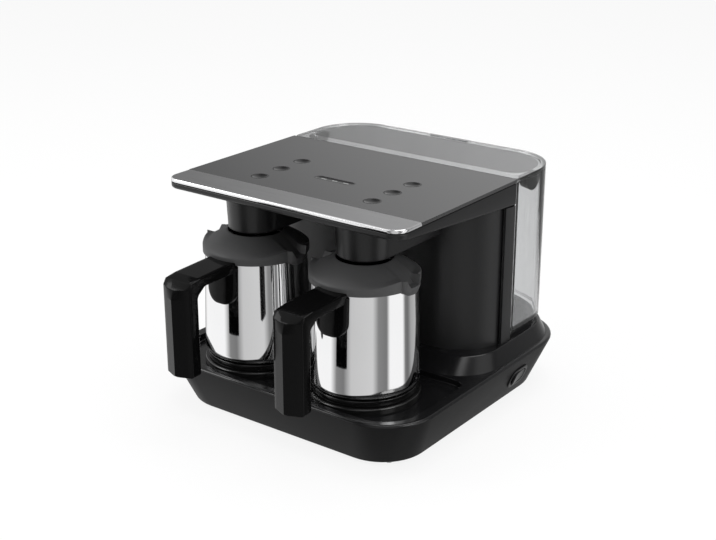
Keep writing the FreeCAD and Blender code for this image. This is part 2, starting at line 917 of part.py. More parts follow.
def inlet_socket():
    flange = rod(0, socket_y, cavity_top - base_wall, cavity_top, socket_diameter + 2 * spigot_flange_border)
    cup = rod(0, socket_y, cavity_top - base_wall, seat_level, socket_diameter)
    well = rod(0, socket_y, seat_level - socket_depth, seat_level, well_radius * 2)
    spigot = rod(0, socket_y, cavity_top - base_wall - spigot_length, cavity_top - base_wall,
                 socket_spigot_diameter)
    pin = rod(0, socket_y, seat_level - socket_depth, tank_bottom - valve_stroke - valve_play,
              socket_pin_diameter)
    return flange.fuse([cup]).cut(well).fuse([spigot, pin]).removeSplitter()


def inlet_seal():
    """Round ring lying in the well, in line with the nozzle under the tank."""
    level = seat_level - seal_wire * 0.8
    return Part.makeTorus(well_radius - seal_wire / 2, seal_wire / 2, vec(0, socket_y, level))


def inlet_hose():
    low = base_bottom + cover_thickness + hose_clearance
    points = [
        (0, socket_y, cavity_top - base_wall - spigot_length),
        (0, socket_y, low),
        (0, pump_y, low),
        (0, pump_y, pump_level - spigot_length),
    ]
    return tube_along(points, tube_diameter, hose_bend)


# Tank and lid

hinge_y = tank_rear - lid_thickness / 2
hinge_z = total_height - lid_thickness / 2


def tank_plan(inset, z0, z1):
    half = tank_width / 2 - inset
    front = max(tank_front_corner - inset, 0.5)
    return plan_prism(-half, half, tank_front + inset, tank_rear - inset, front,
                      tank_rear_corner - inset, z0, z1)


def tank_shell():
    outer = tank_plan(0, tank_bottom, tank_top)
    inner = tank_plan(tank_wall, tank_bottom + tank_floor, tank_top)
    nozzle_radius = well_radius - seal_wire - valve_play
    nozzle = rod(0, socket_y, tank_bottom - valve_stroke, tank_bottom, nozzle_radius * 2)
    bore = rod(0, socket_y, tank_bottom - valve_stroke, tank_bottom + tank_floor, valve_stem_diameter + 2)
    body = outer.cut(inner).fuse([nozzle]).cut(bore)
    for side in (-1, 1):
        x = side * (knuckle_length / 2 + fit_gap)
        far = x + side * ear_width
        ear = block(min(x, far), max(x, far), hinge_y - lid_thickness / 2 + valve_play, tank_rear,
                    tank_top - ear_width, hinge_z)
        crown = Part.makeCylinder(lid_thickness / 2, ear_width, vec(min(x, far), hinge_y, hinge_z),
                                  vec(1, 0, 0))
        body = body.fuse([ear, crown])
    pin_hole = Part.makeCylinder(pin_diameter / 2 + pin_fit, knuckle_length + 2 * ear_width + 2,
                                 vec(-knuckle_length / 2 - ear_width - 1, hinge_y, hinge_z), vec(1, 0, 0))
    return body.cut(pin_hole).removeSplitter()


def tank_lid():
    plate = tank_plan(0, lid_bottom, total_height)
    recess = tank_plan(lid_rim_width, total_height - lid_rim_recess, total_height)
    plate = plate.cut(recess)
    rear_edge = block(-tank_width, tank_width, hinge_y, tank_rear + 1, lid_bottom, total_height)
    barrel = Part.makeCylinder(lid_thickness / 2, tank_width, vec(-tank_width / 2, hinge_y, hinge_z),
                               vec(1, 0, 0))
    plate = plate.cut(rear_edge).fuse([barrel.common(tank_plan(0, 0, total_height))])
    for side in (-1, 1):
        x = side * knuckle_length / 2
        far = x + side * (ear_width + 2 * fit_gap)
        slot = block(min(x, far), max(x, far), hinge_y - lid_thickness / 2 - fit_gap, tank_rear + 1,
                     lid_bottom, total_height)
        plate = plate.cut(slot)
    pin_hole = Part.makeCylinder(pin_diameter / 2 + pin_fit, knuckle_length,
                                 vec(-knuckle_length / 2, hinge_y, hinge_z), vec(1, 0, 0))
    return plate.cut(pin_hole).removeSplitter()


def lid_pin():
    length = knuckle_length + 2 * fit_gap + 2 * ear_width
    return Part.makeCylinder(pin_diameter / 2, length, vec(-length / 2, hinge_y, hinge_z), vec(1, 0, 0))


def tank_grips():
    """Dark finger cups inside the tank's side walls, close under the lid."""
    half = tank_width / 2 - tank_wall
    y = tank_front + tank_depth * grip_cup_place
    top = tank_top - grip_cup_below_rim
    drum = Part.makeCylinder(grip_cup_width / 2, grip_cup_depth, vec(half - grip_cup_depth, y, top),
                             vec(1, 0, 0))
    below = block(half - grip_cup_depth, half, y - grip_cup_width, y + grip_cup_width,
                  top - grip_cup_height, top)
    cup = drum.common(below).common(tank_plan(tank_wall + pin_fit, tank_bottom, tank_top))
    return Part.makeCompound([cup, mirrored(cup)])


def tank_valve():
    """Stem with a head that hangs over the floor by its stroke while the tank is seated."""
    head_level = tank_bottom + tank_floor + valve_stroke + 2 * valve_play
    stem = rod(0, socket_y, tank_bottom - valve_stroke + valve_play, head_level + valve_head_height,
               valve_stem_diameter)
    head = rod(0, socket_y, head_level, head_level + valve_head_height, valve_head_diameter)
    return stem.fuse([head]).removeSplitter()


# Pots

def pot_outside(grow, z_high):
    """Solid of the pot body's outer surface, grown by a gap, up to a height."""
    low = pot_ring_top
    e = pot_edge_radius
    foot = pot_foot_radius + grow
    share = (z_high - low) / pot_height
    high = pot_foot_radius + (pot_rim_radius - pot_foot_radius) * share + grow
    centre = vec(foot - e, 0, low - grow + e)
    arc = Part.Arc(
        vec(foot - e, 0, low - grow),
        centre + vec(e * math.sin(math.pi / 4), 0, -e * math.cos(math.pi / 4)),
        vec(foot, 0, low - grow + e),
    )
    edges = [
        Part.LineSegment(vec(0, 0, low - grow), vec(foot - e, 0, low - grow)).toShape(),
        arc.toShape(),
        Part.LineSegment(vec(foot, 0, low - grow + e), vec(high, 0, z_high)).toShape(),
        Part.LineSegment(vec(high, 0, z_high), vec(0, 0, z_high)).toShape(),
        Part.LineSegment(vec(0, 0, z_high), vec(0, 0, low - grow)).toShape(),
    ]
    return Part.Face(Part.Wire(edges)).revolve(vec(0, 0, 0), vec(0, 0, 1), 360)


def pot_body():
    outer = pot_outside(0, pot_rim_level)
    inner = pot_outside(-pot_wall, pot_rim_level + 1)
    core = rod(0, 0, pot_bottom, pot_ring_top + pot_wall, pot_core_radius * 2)
    return outer.cut(inner).fuse([core]).removeSplitter()


def pot_ring():
    base = rod(0, 0, pot_bottom, pot_ring_top, pot_ring_radius * 2)
    low = [edge for edge in base.Edges if abs(edge.CenterOfMass.z - pot_bottom) < 1e-6]
    base = base.makeFillet(1.5, low)
    bore = rod(0, 0, pot_bottom, pot_ring_top, pot_core_radius * 2 + 0.2)
    return base.cut(bore).cut(pot_outside(0, pot_rim_level))


def collar_solid(shrink):
    """Domed ring from the rim up to the opening, full to the axis, drawn in by a wall."""
    rim = pot_rim_radius + collar_gap + collar_wall - shrink
    low = pot_rim_level - collar_skirt
    shoulder = pot_rim_level + collar_shoulder
    mouth = collar_opening_radius
    top = collar_top
    middle_radius = mouth + (rim - mouth) * 0.62
    middle_level = shoulder + (top - shoulder - shrink) * 0.62
    arc = Part.Arc(vec(rim, 0, shoulder - shrink), vec(middle_radius, 0, middle_level),
                   vec(mouth, 0, top - shrink))
    edges = [
        Part.LineSegment(vec(0, 0, low), vec(rim, 0, low)).toShape(),
        Part.LineSegment(vec(rim, 0, low), vec(rim, 0, shoulder - shrink)).toShape(),
        arc.toShape(),
        Part.LineSegment(vec(mouth, 0, top - shrink), vec(0, 0, top - shrink)).toShape(),
        Part.LineSegment(vec(0, 0, top - shrink), vec(0, 0, low)).toShape(),
    ]
    return Part.Face(Part.Wire(edges)).revolve(vec(0, 0, 0), vec(0, 0, 1), 360)


def spout(shrink):
    """Pouring lip on the +X side, wide at the top and narrow at its hanging foot."""
    start = pot_rim_radius - spout_width / 2
    low = pot_rim_level - spout_drop + shrink
    high = pot_rim_level + spout_rise + shrink
    foot = spout_foot_width / 2 - shrink
    wide = spout_width / 2 - shrink
    foot_outline = (start, spout_reach - spout_drop * 0.4 - shrink, -foot, foot, foot * 0.8, foot * 0.8, low)
    top_outline = (start, spout_reach - shrink, -wide, wide, wide * 0.8, wide * 0.8, high)
    return plan_loft(foot_outline, top_outline)


def pot_collar():
    body = collar_solid(0)
    body = body.fuse([spout(0), mirrored(spout(0))])
    body = body.cut(collar_solid(collar_wall))
    body = body.cut(pot_outside(collar_gap, pot_rim_level + pot_lift_gap))
    channel = spout(spout_wall).common(block(0, deck_width, -deck_width, deck_width,
                                             pot_rim_level + pot_lift_gap, total_height))
    body = body.cut(channel).cut(mirrored(channel))
    mouth = rod(0, 0, pot_rim_level - collar_skirt, collar_top, collar_opening_radius * 2)
    inner_rim = (pot_rim_radius - pot_wall) * 2
    throat = rod(0, 0, pot_rim_level - collar_skirt, pot_rim_level + collar_shoulder, inner_rim)
    body = body.cut(mouth).cut(throat)
    return max(body.Solids, key=lambda solid: solid.Volume)


def pot_handle():
    """Flat arm from the rim, a hanging grip with a ridged front, and the shield on the pot."""
    half = handle_width / 2
    reach = pot_y - handle_front
    top = pot_rim_level
    grip_front = -reach
    grip_back = grip_front + grip_depth
    low = top - arm_fall - grip_length
    start = -(pot_rim_radius - arm_depth_in_rim)
    chamfer = grip_end_chamfer
    corner = handle_inner_round * grip_corner_share
    under = top - arm_thickness
    points = [
        (start, top - arm_below_rim),
        (grip_front + handle_top_round * shoulder_start, top - arm_fall),
        (grip_front + handle_top_round * shoulder_middle, top - arm_fall - shoulder_fall),
        (grip_front + handle_top_round * shoulder_front, top - handle_top_round * shoulder_low),
        (grip_front, top - handle_top_round * shoulder_end),
        (grip_front, low + chamfer),
        (grip_front + chamfer, low),
        (grip_back - chamfer, low),
        (grip_back, low + chamfer),
        (grip_back, under - handle_inner_round),
        (grip_back + corner, under - corner),
        (grip_back + handle_inner_round, under),
        (start, under + arm_below_rim),
    ]
    body = profile_prism(points, -half, half)
    ridge = [
        vec(-half, start, 0),
        vec(-half, grip_front + grip_ridge, 0),
        vec(0, grip_front, 0),
        vec(half, grip_front + grip_ridge, 0),
        vec(half, start, 0),
    ]
    plan = Part.Face(Part.makePolygon(ridge + [ridge[0]])).extrude(vec(0, 0, total_height))
    body = body.common(plan)
    skin = pot_outside(shield_thickness, top - arm_below_rim)
    wide = shield_width / 2
    face = block(-wide, wide, -reach, 0, top - shield_height, top - arm_below_rim)
    lower_corners = [
        edge for edge in face.Edges
        if abs(edge.CenterOfMass.z - top + shield_height) < 1e-6
        and abs(abs(edge.CenterOfMass.x) - wide) < 1e-6
    ]
    face = face.makeFillet(wide * shield_corner_share, lower_corners)
    body = body.fuse([skin.common(face)])
    body = body.cut(pot_outside(pin_fit, top + 1)).cut(collar_reach())
    return max(body.removeSplitter().Solids, key=lambda solid: solid.Volume)


def collar_reach():
    """Space taken by the collar's skirt, with a hair of clearance for the handle."""
    radius = pot_rim_radius + collar_gap + collar_wall + pin_fit
    return rod(0, 0, pot_rim_level - collar_skirt - pin_fit, total_height, radius * 2)


# Write every piece

export(base_housing(), "base_housing")
export(rear_platform(), "rear_platform")
export(bottom_cover(), "bottom_cover")
export(rubber_feet(), "rubber_feet")
export(bottom_screws(), "bottom_screws")
export(mains_gland(), "mains_gland")
export(power_board(), "power_board")
export(switch_bezel(), "switch_bezel")
export(power_rocker(), "power_rocker")
export(switch_block(), "switch_block")
export(column_housing(), "column_housing")
export(rear_panel(), "rear_panel")
export(header_housing(), "header_housing")
export(plate_seal(), "plate_seal")
export(front_strip(), "front_strip")
export(control_plate(), "control_plate")
export(display_window(), "display_window")
export(key_board(), "key_board")
export(water_pump(), "water_pump")
export(pump_mount(), "pump_mount")
export(inlet_socket(), "inlet_socket")
export(inlet_seal(), "inlet_seal")
export(inlet_hose(), "inlet_hose")
export(tank_shell(), "tank_shell")
export(tank_lid(), "tank_lid")
export(lid_pin(), "lid_pin")
export(tank_grips(), "tank_grips")
export(tank_valve(), "tank_valve")

for key_name, key_x, key_y in key_places():
    export(key(key_x, key_y), key_name)

for side_name, side in (("left", -1), ("right", 1)):
    x = side * pot_x
    export(hotplate(x), "hotplate_" + side_name)
    export(hotplate_seal(x), "hotplate_seal_" + side_name)
    export(heater(x), "heating_element_" + side_name)
    export(thermostat(x), "thermostat_" + side_name)
    export(brew_head(x), "brew_head_" + side_name)
    export(water_nozzle(x), "water_nozzle_" + side_name)
    export(overflow_sensor(x), "overflow_sensor_" + side_name)
    export(water_tube(side), "water_tube_" + side_name)
    for piece, name in (
        (pot_body(), "pot_body_"),
        (pot_ring(), "pot_ring_"),
        (pot_collar(), "pot_collar_"),
        (pot_handle(), "pot_handle_"),
    ):
        piece.translate(vec(x, pot_y, 0))
        export(piece, name + side_name)
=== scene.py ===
import math

import bpy
import numpy as np
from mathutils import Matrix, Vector
from mathutils.geometry import tessellate_polygon


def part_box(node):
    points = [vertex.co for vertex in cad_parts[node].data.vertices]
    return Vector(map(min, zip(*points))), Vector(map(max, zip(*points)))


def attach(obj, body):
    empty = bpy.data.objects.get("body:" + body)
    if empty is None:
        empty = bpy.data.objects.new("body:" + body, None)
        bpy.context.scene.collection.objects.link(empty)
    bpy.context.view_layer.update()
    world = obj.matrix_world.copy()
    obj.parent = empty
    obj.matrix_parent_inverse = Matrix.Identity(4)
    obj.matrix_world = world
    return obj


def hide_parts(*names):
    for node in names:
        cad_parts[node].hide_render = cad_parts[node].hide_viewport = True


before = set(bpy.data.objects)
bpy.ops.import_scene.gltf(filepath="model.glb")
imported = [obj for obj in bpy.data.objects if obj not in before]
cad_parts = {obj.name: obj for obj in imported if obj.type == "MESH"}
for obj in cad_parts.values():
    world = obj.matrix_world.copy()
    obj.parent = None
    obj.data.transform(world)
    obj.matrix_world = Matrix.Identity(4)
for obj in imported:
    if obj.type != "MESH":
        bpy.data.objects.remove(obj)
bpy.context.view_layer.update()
mm = 0.001


# Studio: a wide pale floor, two soft boxes and a broad overhead panel, and the camera where the
# photograph was taken from. White walls and grey screens stand round the room, and only the
# shiny parts of the machine show them.

camera_place = (0.668085, -0.884973, 0.538265)
camera_tilt = 69.433
camera_turn = 36.733
camera_lens = 65.99
floor_size = 12.0
floor_colour = (0.93, 0.93, 0.93, 1)
floor_glow = 0.86
room_light = 0.55
# Brightness by bearing from the machine, in degrees: 0 is behind the camera, 90 on its right
room_walls = [
    (-180, 0.6), (-172, 0.3), (-160, 0.25), (-150, 0.9), (-135, 1.0), (-74, 1.0), (-60, 0.24),
    (-44, 0.2), (-28, 0.6), (16, 0.66), (28, 0.25), (46, 0.2), (53, 1.0), (85, 1.0), (92, 0.2),
    (100, 0.16), (112, 0.4), (135, 0.5), (160, 0.85), (172, 0.85), (180, 0.6),
]
# Soft boxes: name, centre, size, watts
soft_boxes = [
    ("box_left", (-1.3, -1.0, 1.1), 0.9, 11.0),
    ("box_right", (1.5, -0.2, 0.9), 0.7, 7.0),
    ("box_above", (0.1, 0.3, 1.7), 1.4, 16.0),
]
box_target = (0.0, 0.0, 0.1)


class Term:
    """One value in a node tree. Sums, differences, products and quotients of terms and numbers
    add the Math nodes that work them out."""

    def __init__(self, finish, socket):
        self.finish = finish
        self.socket = socket

    def maths(self, operation, first, second=0.0):
        return self.finish.node("ShaderNodeMath", {"operation": operation}, {0: first, 1: second})

    def __add__(self, other):
        return self.maths("ADD", self, other)

    def __radd__(self, other):
        return self.maths("ADD", other, self)

    def __sub__(self, other):
        return self.maths("SUBTRACT", self, other)

    def __rsub__(self, other):
        return self.maths("SUBTRACT", other, self)

    def __mul__(self, other):
        return self.maths("MULTIPLY", self, other)

    def __rmul__(self, other):
        return self.maths("MULTIPLY", other, self)

    def __truediv__(self, other):
        return self.maths("DIVIDE", self, other)


class Finish:
    """The nodes of one material or of the room: node() adds any node and gives its output."""

    def __init__(self, owner):
        owner.use_nodes = True
        self.owner = owner
        self.tree = owner.node_tree

    def feed(self, socket, value):
        if isinstance(value, Term):
            self.tree.links.new(value.socket, socket)
        else:
            socket.default_value = value

    def node(self, kind, settings=None, inputs=None, output=0):
        """Add a node: its settings first, then its sockets' values or links."""
        made = self.tree.nodes.new(kind)
        for key, value in (settings or {}).items():
            if key == "stops":
                while len(made.color_ramp.elements) < len(value):
                    made.color_ramp.elements.new(0.5)
                for element, (position, level) in zip(made.color_ramp.elements, value):
                    element.position = position
                    element.color = (level, level, level, 1)
            else:
                setattr(made, key, value)
        for key, value in (inputs or {}).items():
            self.feed(made.inputs[key], value)
        return Term(self, made.outputs[output])

    def mix(self, factor, first, second):
        """Colour that runs from the first to the second as the factor runs from 0 to 1."""
        return self.node("ShaderNodeMix", {"data_type": "RGBA"}, {0: factor, 6: first, 7: second}, 2)


def screens(finish, towards):
    """Brightness of the walls and screens seen along a direction: a ramp along its compass
    bearing, which is fixed to the room and counted from where the photograph was taken."""
    turned = finish.node("ShaderNodeVectorRotate", {"rotation_type": "Z_AXIS"},
                         {"Vector": towards, "Angle": -math.radians(camera_turn)})
    across = finish.node("ShaderNodeSeparateXYZ", inputs={0: turned})
    along = Term(finish, across.socket.node.outputs["Y"])
    angle = finish.node("ShaderNodeMath", {"operation": "ARCTAN2"}, {0: across, 1: along * -1.0})
    stops = [((degrees + 180) / 360, level) for degrees, level in room_walls]
    return finish.node("ShaderNodeValToRGB", {"stops": stops}, {0: angle / (2 * math.pi) + 0.5})


def build_room():
    """The world: even light for matt surfaces, and bright and dark screens for shiny ones."""
    room = Finish(bpy.context.scene.world or bpy.data.worlds.new("room"))
    bpy.context.scene.world = room.owner
    walls = screens(room, room.node("ShaderNodeTexCoord", output="Generated"))
    camera_ray = room.node("ShaderNodeLightPath", output="Is Camera Ray")
    straight = room.node("ShaderNodeLightPath", output="Is Transmission Ray")
    shiny = room.node("ShaderNodeLightPath", output="Is Glossy Ray")
    white = (1, 1, 1, 1)
    grey = (room_light, room_light, room_light, 1)
    colour = room.mix(shiny, grey, walls)
    colour = room.mix(camera_ray, colour, white)
    colour = room.mix(straight * (1 - shiny), colour, white)
    background = room.tree.nodes["Background"]
    room.feed(background.inputs["Color"], colour)


def build_floor():
    """A square on the table's level, pale and matt, which glows enough to read as white. What
    shiny parts mirror passes through it, so that they see the room's screens there too."""
    half = floor_size / 2
    corners = [(-half, -half, 0), (half, -half, 0), (half, half, 0), (-half, half, 0)]
    mesh = bpy.data.meshes.new("floor")
    mesh.from_pydata(corners, [], [(0, 1, 2, 3)])
    floor = bpy.data.objects.new("floor", mesh)
    bpy.context.scene.collection.objects.link(floor)
    finish = Finish(bpy.data.materials.new("floor_paint"))
    shader = finish.tree.nodes["Principled BSDF"]
    shader.inputs["Base Color"].default_value = floor_colour
    shader.inputs["Roughness"].default_value = 1.0
    shader.inputs["Specular IOR Level"].default_value = 0.0
    shiny = finish.node("ShaderNodeLightPath", output="Is Glossy Ray")
    straight = finish.node("ShaderNodeLightPath", output="Is Camera Ray")
    straight = straight + finish.node("ShaderNodeLightPath", output="Is Transmission Ray")
    pale = finish.node("ShaderNodeMixShader", inputs={
        0: straight * floor_glow,
        1: Term(finish, shader.outputs[0]),
        2: finish.node("ShaderNodeEmission", inputs={"Strength": 1.0}),
    })
    clear_to_shine = finish.node("ShaderNodeBsdfTransparent")
    floor_shader = finish.node("ShaderNodeMixShader", inputs={0: shiny, 1: pale, 2: clear_to_shine})
    finish.feed(finish.tree.nodes["Material Output"].inputs["Surface"], floor_shader)
    mesh.materials.append(finish.owner)


def build_lights():
    """Square area lamps, each turned to the middle of the machine."""
    for name, centre, size, watts in soft_boxes:
        lamp = bpy.data.lights.new(name, "AREA")
        lamp.shape = "SQUARE"
        lamp.size = size
        lamp.energy = watts
        box = bpy.data.objects.new(name, lamp)
        box.location = centre
        aim = Vector(box_target) - Vector(centre)
        box.rotation_euler = aim.to_track_quat("-Z", "Y").to_euler()
        bpy.context.scene.collection.objects.link(box)


def build_camera():
    """The photograph's camera: level across, tilted down and turned to the left."""
    lens = bpy.data.cameras.new("camera")
    lens.lens = camera_lens
    camera = bpy.data.objects.new("camera", lens)
    camera.location = camera_place
    camera.rotation_euler = (math.radians(camera_tilt), 0, math.radians(camera_turn))
    bpy.context.scene.collection.objects.link(camera)
    bpy.context.scene.camera = camera


build_room()
build_floor()
build_lights()
build_camera()
bpy.context.scene.view_settings.view_transform = "Standard"


# Base housing: one deep moulding in black plastic, wider at its rim than on the table. Its front
# half holds a sunk tray for the two hot plates, and behind it a smooth platform rises to carry
# the column and the water tank.

base_low, base_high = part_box("base_housing")
seat_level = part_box("rear_platform")[1].z
rim_level = 48 * mm
base_taper = 17.7 * mm
base_front_corner = 48 * mm
base_rear_corner = 57 * mm
base_wall = 3 * mm
corner_shrink = 0.4
base_foot_round = 2.5 * mm
rim_round = 2.2 * mm
tray_half = 128 * mm
tray_front = base_low.y + 10 * mm
tray_rear = tray_front + 107 * mm
tray_floor = 42 * mm
tray_front_corner = 34 * mm
tray_rear_corner = 11.3 * mm
tray_edge = 0.9 * mm
tray_cove = 2.0 * mm
platform_front = tray_rear + 1.5 * mm
platform_foot = 6 * mm
platform_top = 13 * mm
platform_ramp = 16 * mm
platform_level = 61 * mm
platform_brow = 5.0 * mm
seat_half = 122 * mm
seat_edge = 0.8 * mm
seat_margin = 2.5 * mm
seat_front_corner = 4 * mm
seat_rear_corner = 44.5 * mm
well_radius = 13.4 * mm
well_floor = 57 * mm
# Faces whose normal points down by more than this share are rougher, and darker with a weaker gloss as
# painted shade
down_facing = -0.15
grain_size = 0.4 * mm
grain_height = 0.05 * mm


class Skin:
    """A mesh being made: loops of points joined by walls, and flat fills between loops."""

    def __init__(self):
        self.points = []
        self.faces = []
        self.count = 0

    def loop(self, points):
        """Add an (n, 3) array of points and give their numbers."""
        self.points.append(np.asarray(points, float))
        numbers = np.arange(self.count, self.count + len(points))
        self.count += len(points)
        return numbers

    def wall(self, lower, upper, closed=True):
        """Squares between two loops of the same length, facing right of the way they run."""
        lower_next = np.roll(lower, -1)
        upper_next = np.roll(upper, -1)
        squares = np.stack([lower, lower_next, upper_next, upper], axis=1)
        self.faces += (squares if closed else squares[:-1]).tolist()

    def walls(self, rows):
        """Walls through a list of point arrays; gives the numbers of the first and last loop."""
        numbers = [self.loop(row) for row in rows]
        for lower, upper in zip(numbers[:-1], numbers[1:]):
            self.wall(lower, upper)
        return numbers[0], numbers[-1]

    def shut_walls(self, rows):
        """Walls through the rows, with a lid on the first loop and on the last."""
        first, last = self.walls(rows)
        self.lid(first, reverse=True)
        self.lid(last)

    def fill(self, outer, holes=(), upward=True):
        """Close a level loop, leaving its holes open: triangles, all turned the same way."""
        every = np.concatenate(self.points)
        loops = [outer] + list(holes)
        flat = [[Vector((*every[number][:2], 0)) for number in loop] for loop in loops]
        numbers = np.concatenate(loops)
        corners = numbers[np.array(tessellate_polygon(flat))]
        a, b, c = (every[corners[:, k], :2] for k in range(3))
        turn = (b[:, 0] - a[:, 0]) * (c[:, 1] - a[:, 1]) - (b[:, 1] - a[:, 1]) * (c[:, 0] - a[:, 0])
        wrong = (turn < 0) if upward else (turn > 0)
        corners[wrong] = corners[wrong][:, ::-1]
        self.faces += corners[abs(turn) > 1e-14].tolist()

    def lid(self, loop, reverse=False):
        """Close a loop by one face that runs the way of its points, or against it."""
        self.faces.append(loop[::-1].tolist() if reverse else loop.tolist())

    def placed(self, move):
        """Put every point where the move function sends it."""
        self.points = [move(points) for points in self.points]

    def piece(self, name, finish, body, slot, *nodes):
        """Turn the skin into a smooth shaded piece on its body, in place of its nodes."""
        mesh = bpy.data.meshes.new(name)
        mesh.from_pydata(np.concatenate(self.points).tolist(), [], self.faces)
        mesh.polygons.foreach_set("use_smooth", np.ones(len(mesh.polygons), bool))
        mesh.materials.append(finish)
        made = bpy.data.objects.new(name, mesh)
        bpy.context.scene.collection.objects.link(made)
        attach(made, body)
        if nodes:
            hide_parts(*nodes)
        return made


def softened(corners, steps=6):
    """An open line through its corners, each (across, up, radius): every inner corner is replaced
    by a tangent arc of its radius, divided into equal steps."""
    line = [np.array(corners[0][:2], float)]
    for before, here, after in zip(corners[:-2], corners[1:-1], corners[2:]):
        corner = np.array(here[:2], float)
        into = corner - np.array(before[:2])
        into = into / np.linalg.norm(into)
        away = np.array(after[:2]) - corner
        away = away / np.linalg.norm(away)
        turn = math.acos(max(-1.0, min(1.0, float(into @ away))))
        radius = here[2]
        side = math.copysign(1.0, into[0] * away[1] - into[1] * away[0])
        inward = side * np.array([-into[1], into[0]])
        start = corner - into * radius * math.tan(turn / 2)
        for angle in np.linspace(0, turn, steps + 1 if radius else 1):
            bend = inward * radius * (1 - math.cos(angle)) + into * radius * math.sin(angle)
            line.append(start + bend)
    line.append(np.array(corners[-1][:2], float))
    return np.array(line)


def arc(x, y, radius, angle):
    """Points at a radius round a centre, one for each angle."""
    return np.stack([x + radius * np.cos(angle), y + radius * np.sin(angle)], axis=1)


def outline(x0, x1, y0, y1, front, rear, steps=14):
    """Plan of a rounded rectangle, anticlockwise: quarter arcs with a front and a rear radius."""
    turn = np.linspace(0, math.pi / 2, steps)
    corners = ((x1, y0, front, -90), (x1, y1, rear, 0), (x0, y1, rear, 90), (x0, y0, front, 180))
    arcs = []
    for x, y, radius, start in corners:
        centre_x = x - math.copysign(radius, x - (x0 + x1) / 2)
        centre_y = y - math.copysign(radius, y - (y0 + y1) / 2)
        arcs.append(arc(centre_x, centre_y, radius, turn + math.radians(start)))
    return np.concatenate(arcs)


def lifted(plan, z):
    """A plan's points at a level, or at one level for each point."""
    return np.column_stack([plan, np.broadcast_to(z, len(plan))])


def circle(x, y, radius, count=96):
    """Points round a circle, anticlockwise."""
    return arc(x, y, radius, np.linspace(0, 2 * math.pi, count, endpoint=False))


def middle(node):
    """Centre of a CAD node's box, seen from above."""
    low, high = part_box(node)
    return (low.x + high.x) / 2, (low.y + high.y) / 2


def crisp(piece, degrees=35):
    """Keep a piece's real edges sharp while its curved faces stay smooth."""
    piece.data.set_sharp_from_angle(angle=math.radians(degrees))
    return piece


def shade(colour, factor):
    """A colour made darker or lighter by a factor, as four parts."""
    return tuple(factor * part for part in colour) + (1,)


def moulded(name, colour, roughness, grain=0.05, specular=0.5):
    """Moulded plastic or rubber: a nearly even colour with faint clouds, and a spark eroded grain
    that roughens the gloss and lifts the surface by a few thousandths of a millimetre."""
    finish = Finish(bpy.data.materials.new(name))
    place = finish.node("ShaderNodeTexCoord", output="Object")
    clouds = finish.node("ShaderNodeTexNoise", inputs={"Vector": place, "Scale": 22.0, "Detail": 3.0})
    fine = finish.node("ShaderNodeTexNoise", inputs={
        "Vector": place, "Scale": 1 / grain_size, "Detail": 2.0})
    shader = finish.tree.nodes["Principled BSDF"]
    finish.feed(shader.inputs["Base Color"], finish.mix(clouds, shade(colour, 0.88), shade(colour, 1.12)))
    finish.feed(shader.inputs["Roughness"], roughness * (0.86 + 0.16 * clouds + 0.12 * fine))
    bump = finish.node("ShaderNodeBump", inputs={
        "Strength": grain, "Distance": grain_height, "Height": fine})
    finish.feed(shader.inputs["Normal"], bump)
    shader.inputs["Specular IOR Level"].default_value = specular
    return finish.owner


def base_loop(inset, z):
    """The base's plan, drawn in from its rim; its corners tighten more slowly than its sides."""
    plan = outline(
        base_low.x + inset, base_high.x - inset, base_low.y + inset, base_high.y - inset,
        base_front_corner - corner_shrink * inset, base_rear_corner - corner_shrink * inset,
    )
    return lifted(plan, z)


def tray_loop(outset, z):
    """The tray's plan, grown outwards from its wall."""
    plan = outline(
        -tray_half - outset, tray_half + outset, tray_front - outset, tray_rear + outset,
        tray_front_corner + outset, tray_rear_corner + outset,
    )
    return lifted(plan, z)


def platform_loop(share, z):
    """The platform's plan at a share of its ramp: 0 at the foot and 1 at the top."""
    inset = platform_foot + (platform_top - platform_foot) * share
    plan = outline(
        base_low.x + inset, base_high.x - inset, platform_front + platform_ramp * share,
        base_high.y - inset, base_front_corner - inset, base_rear_corner - inset,
    )
    return lifted(plan, z)


def seat_loop(inset, z):
    """The tank seat's plan: it starts under the tank's front and ends inside the platform."""
    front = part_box("tank_shell")[0].y + seat_margin
    rear = base_high.y - platform_top - seat_margin
    plan = outline(
        -seat_half + inset, seat_half - inset, front + inset, rear - inset,
        seat_front_corner - inset, seat_rear_corner - inset,
    )
    return lifted(plan, z)


shell_black = moulded("shell_black", (0.0085, 0.0085, 0.009), 0.34, specular=0.36)
base_black = moulded("base_black", (0.0075, 0.0075, 0.008), 0.2, grain=0.03, specular=0.36)
# For the faces that look down: rougher, and with a darker colour and weaker gloss that are painted shade
shade_painted_black = moulded("shade_painted_black", (0.0065, 0.0065, 0.0068), 0.4, specular=0.08)


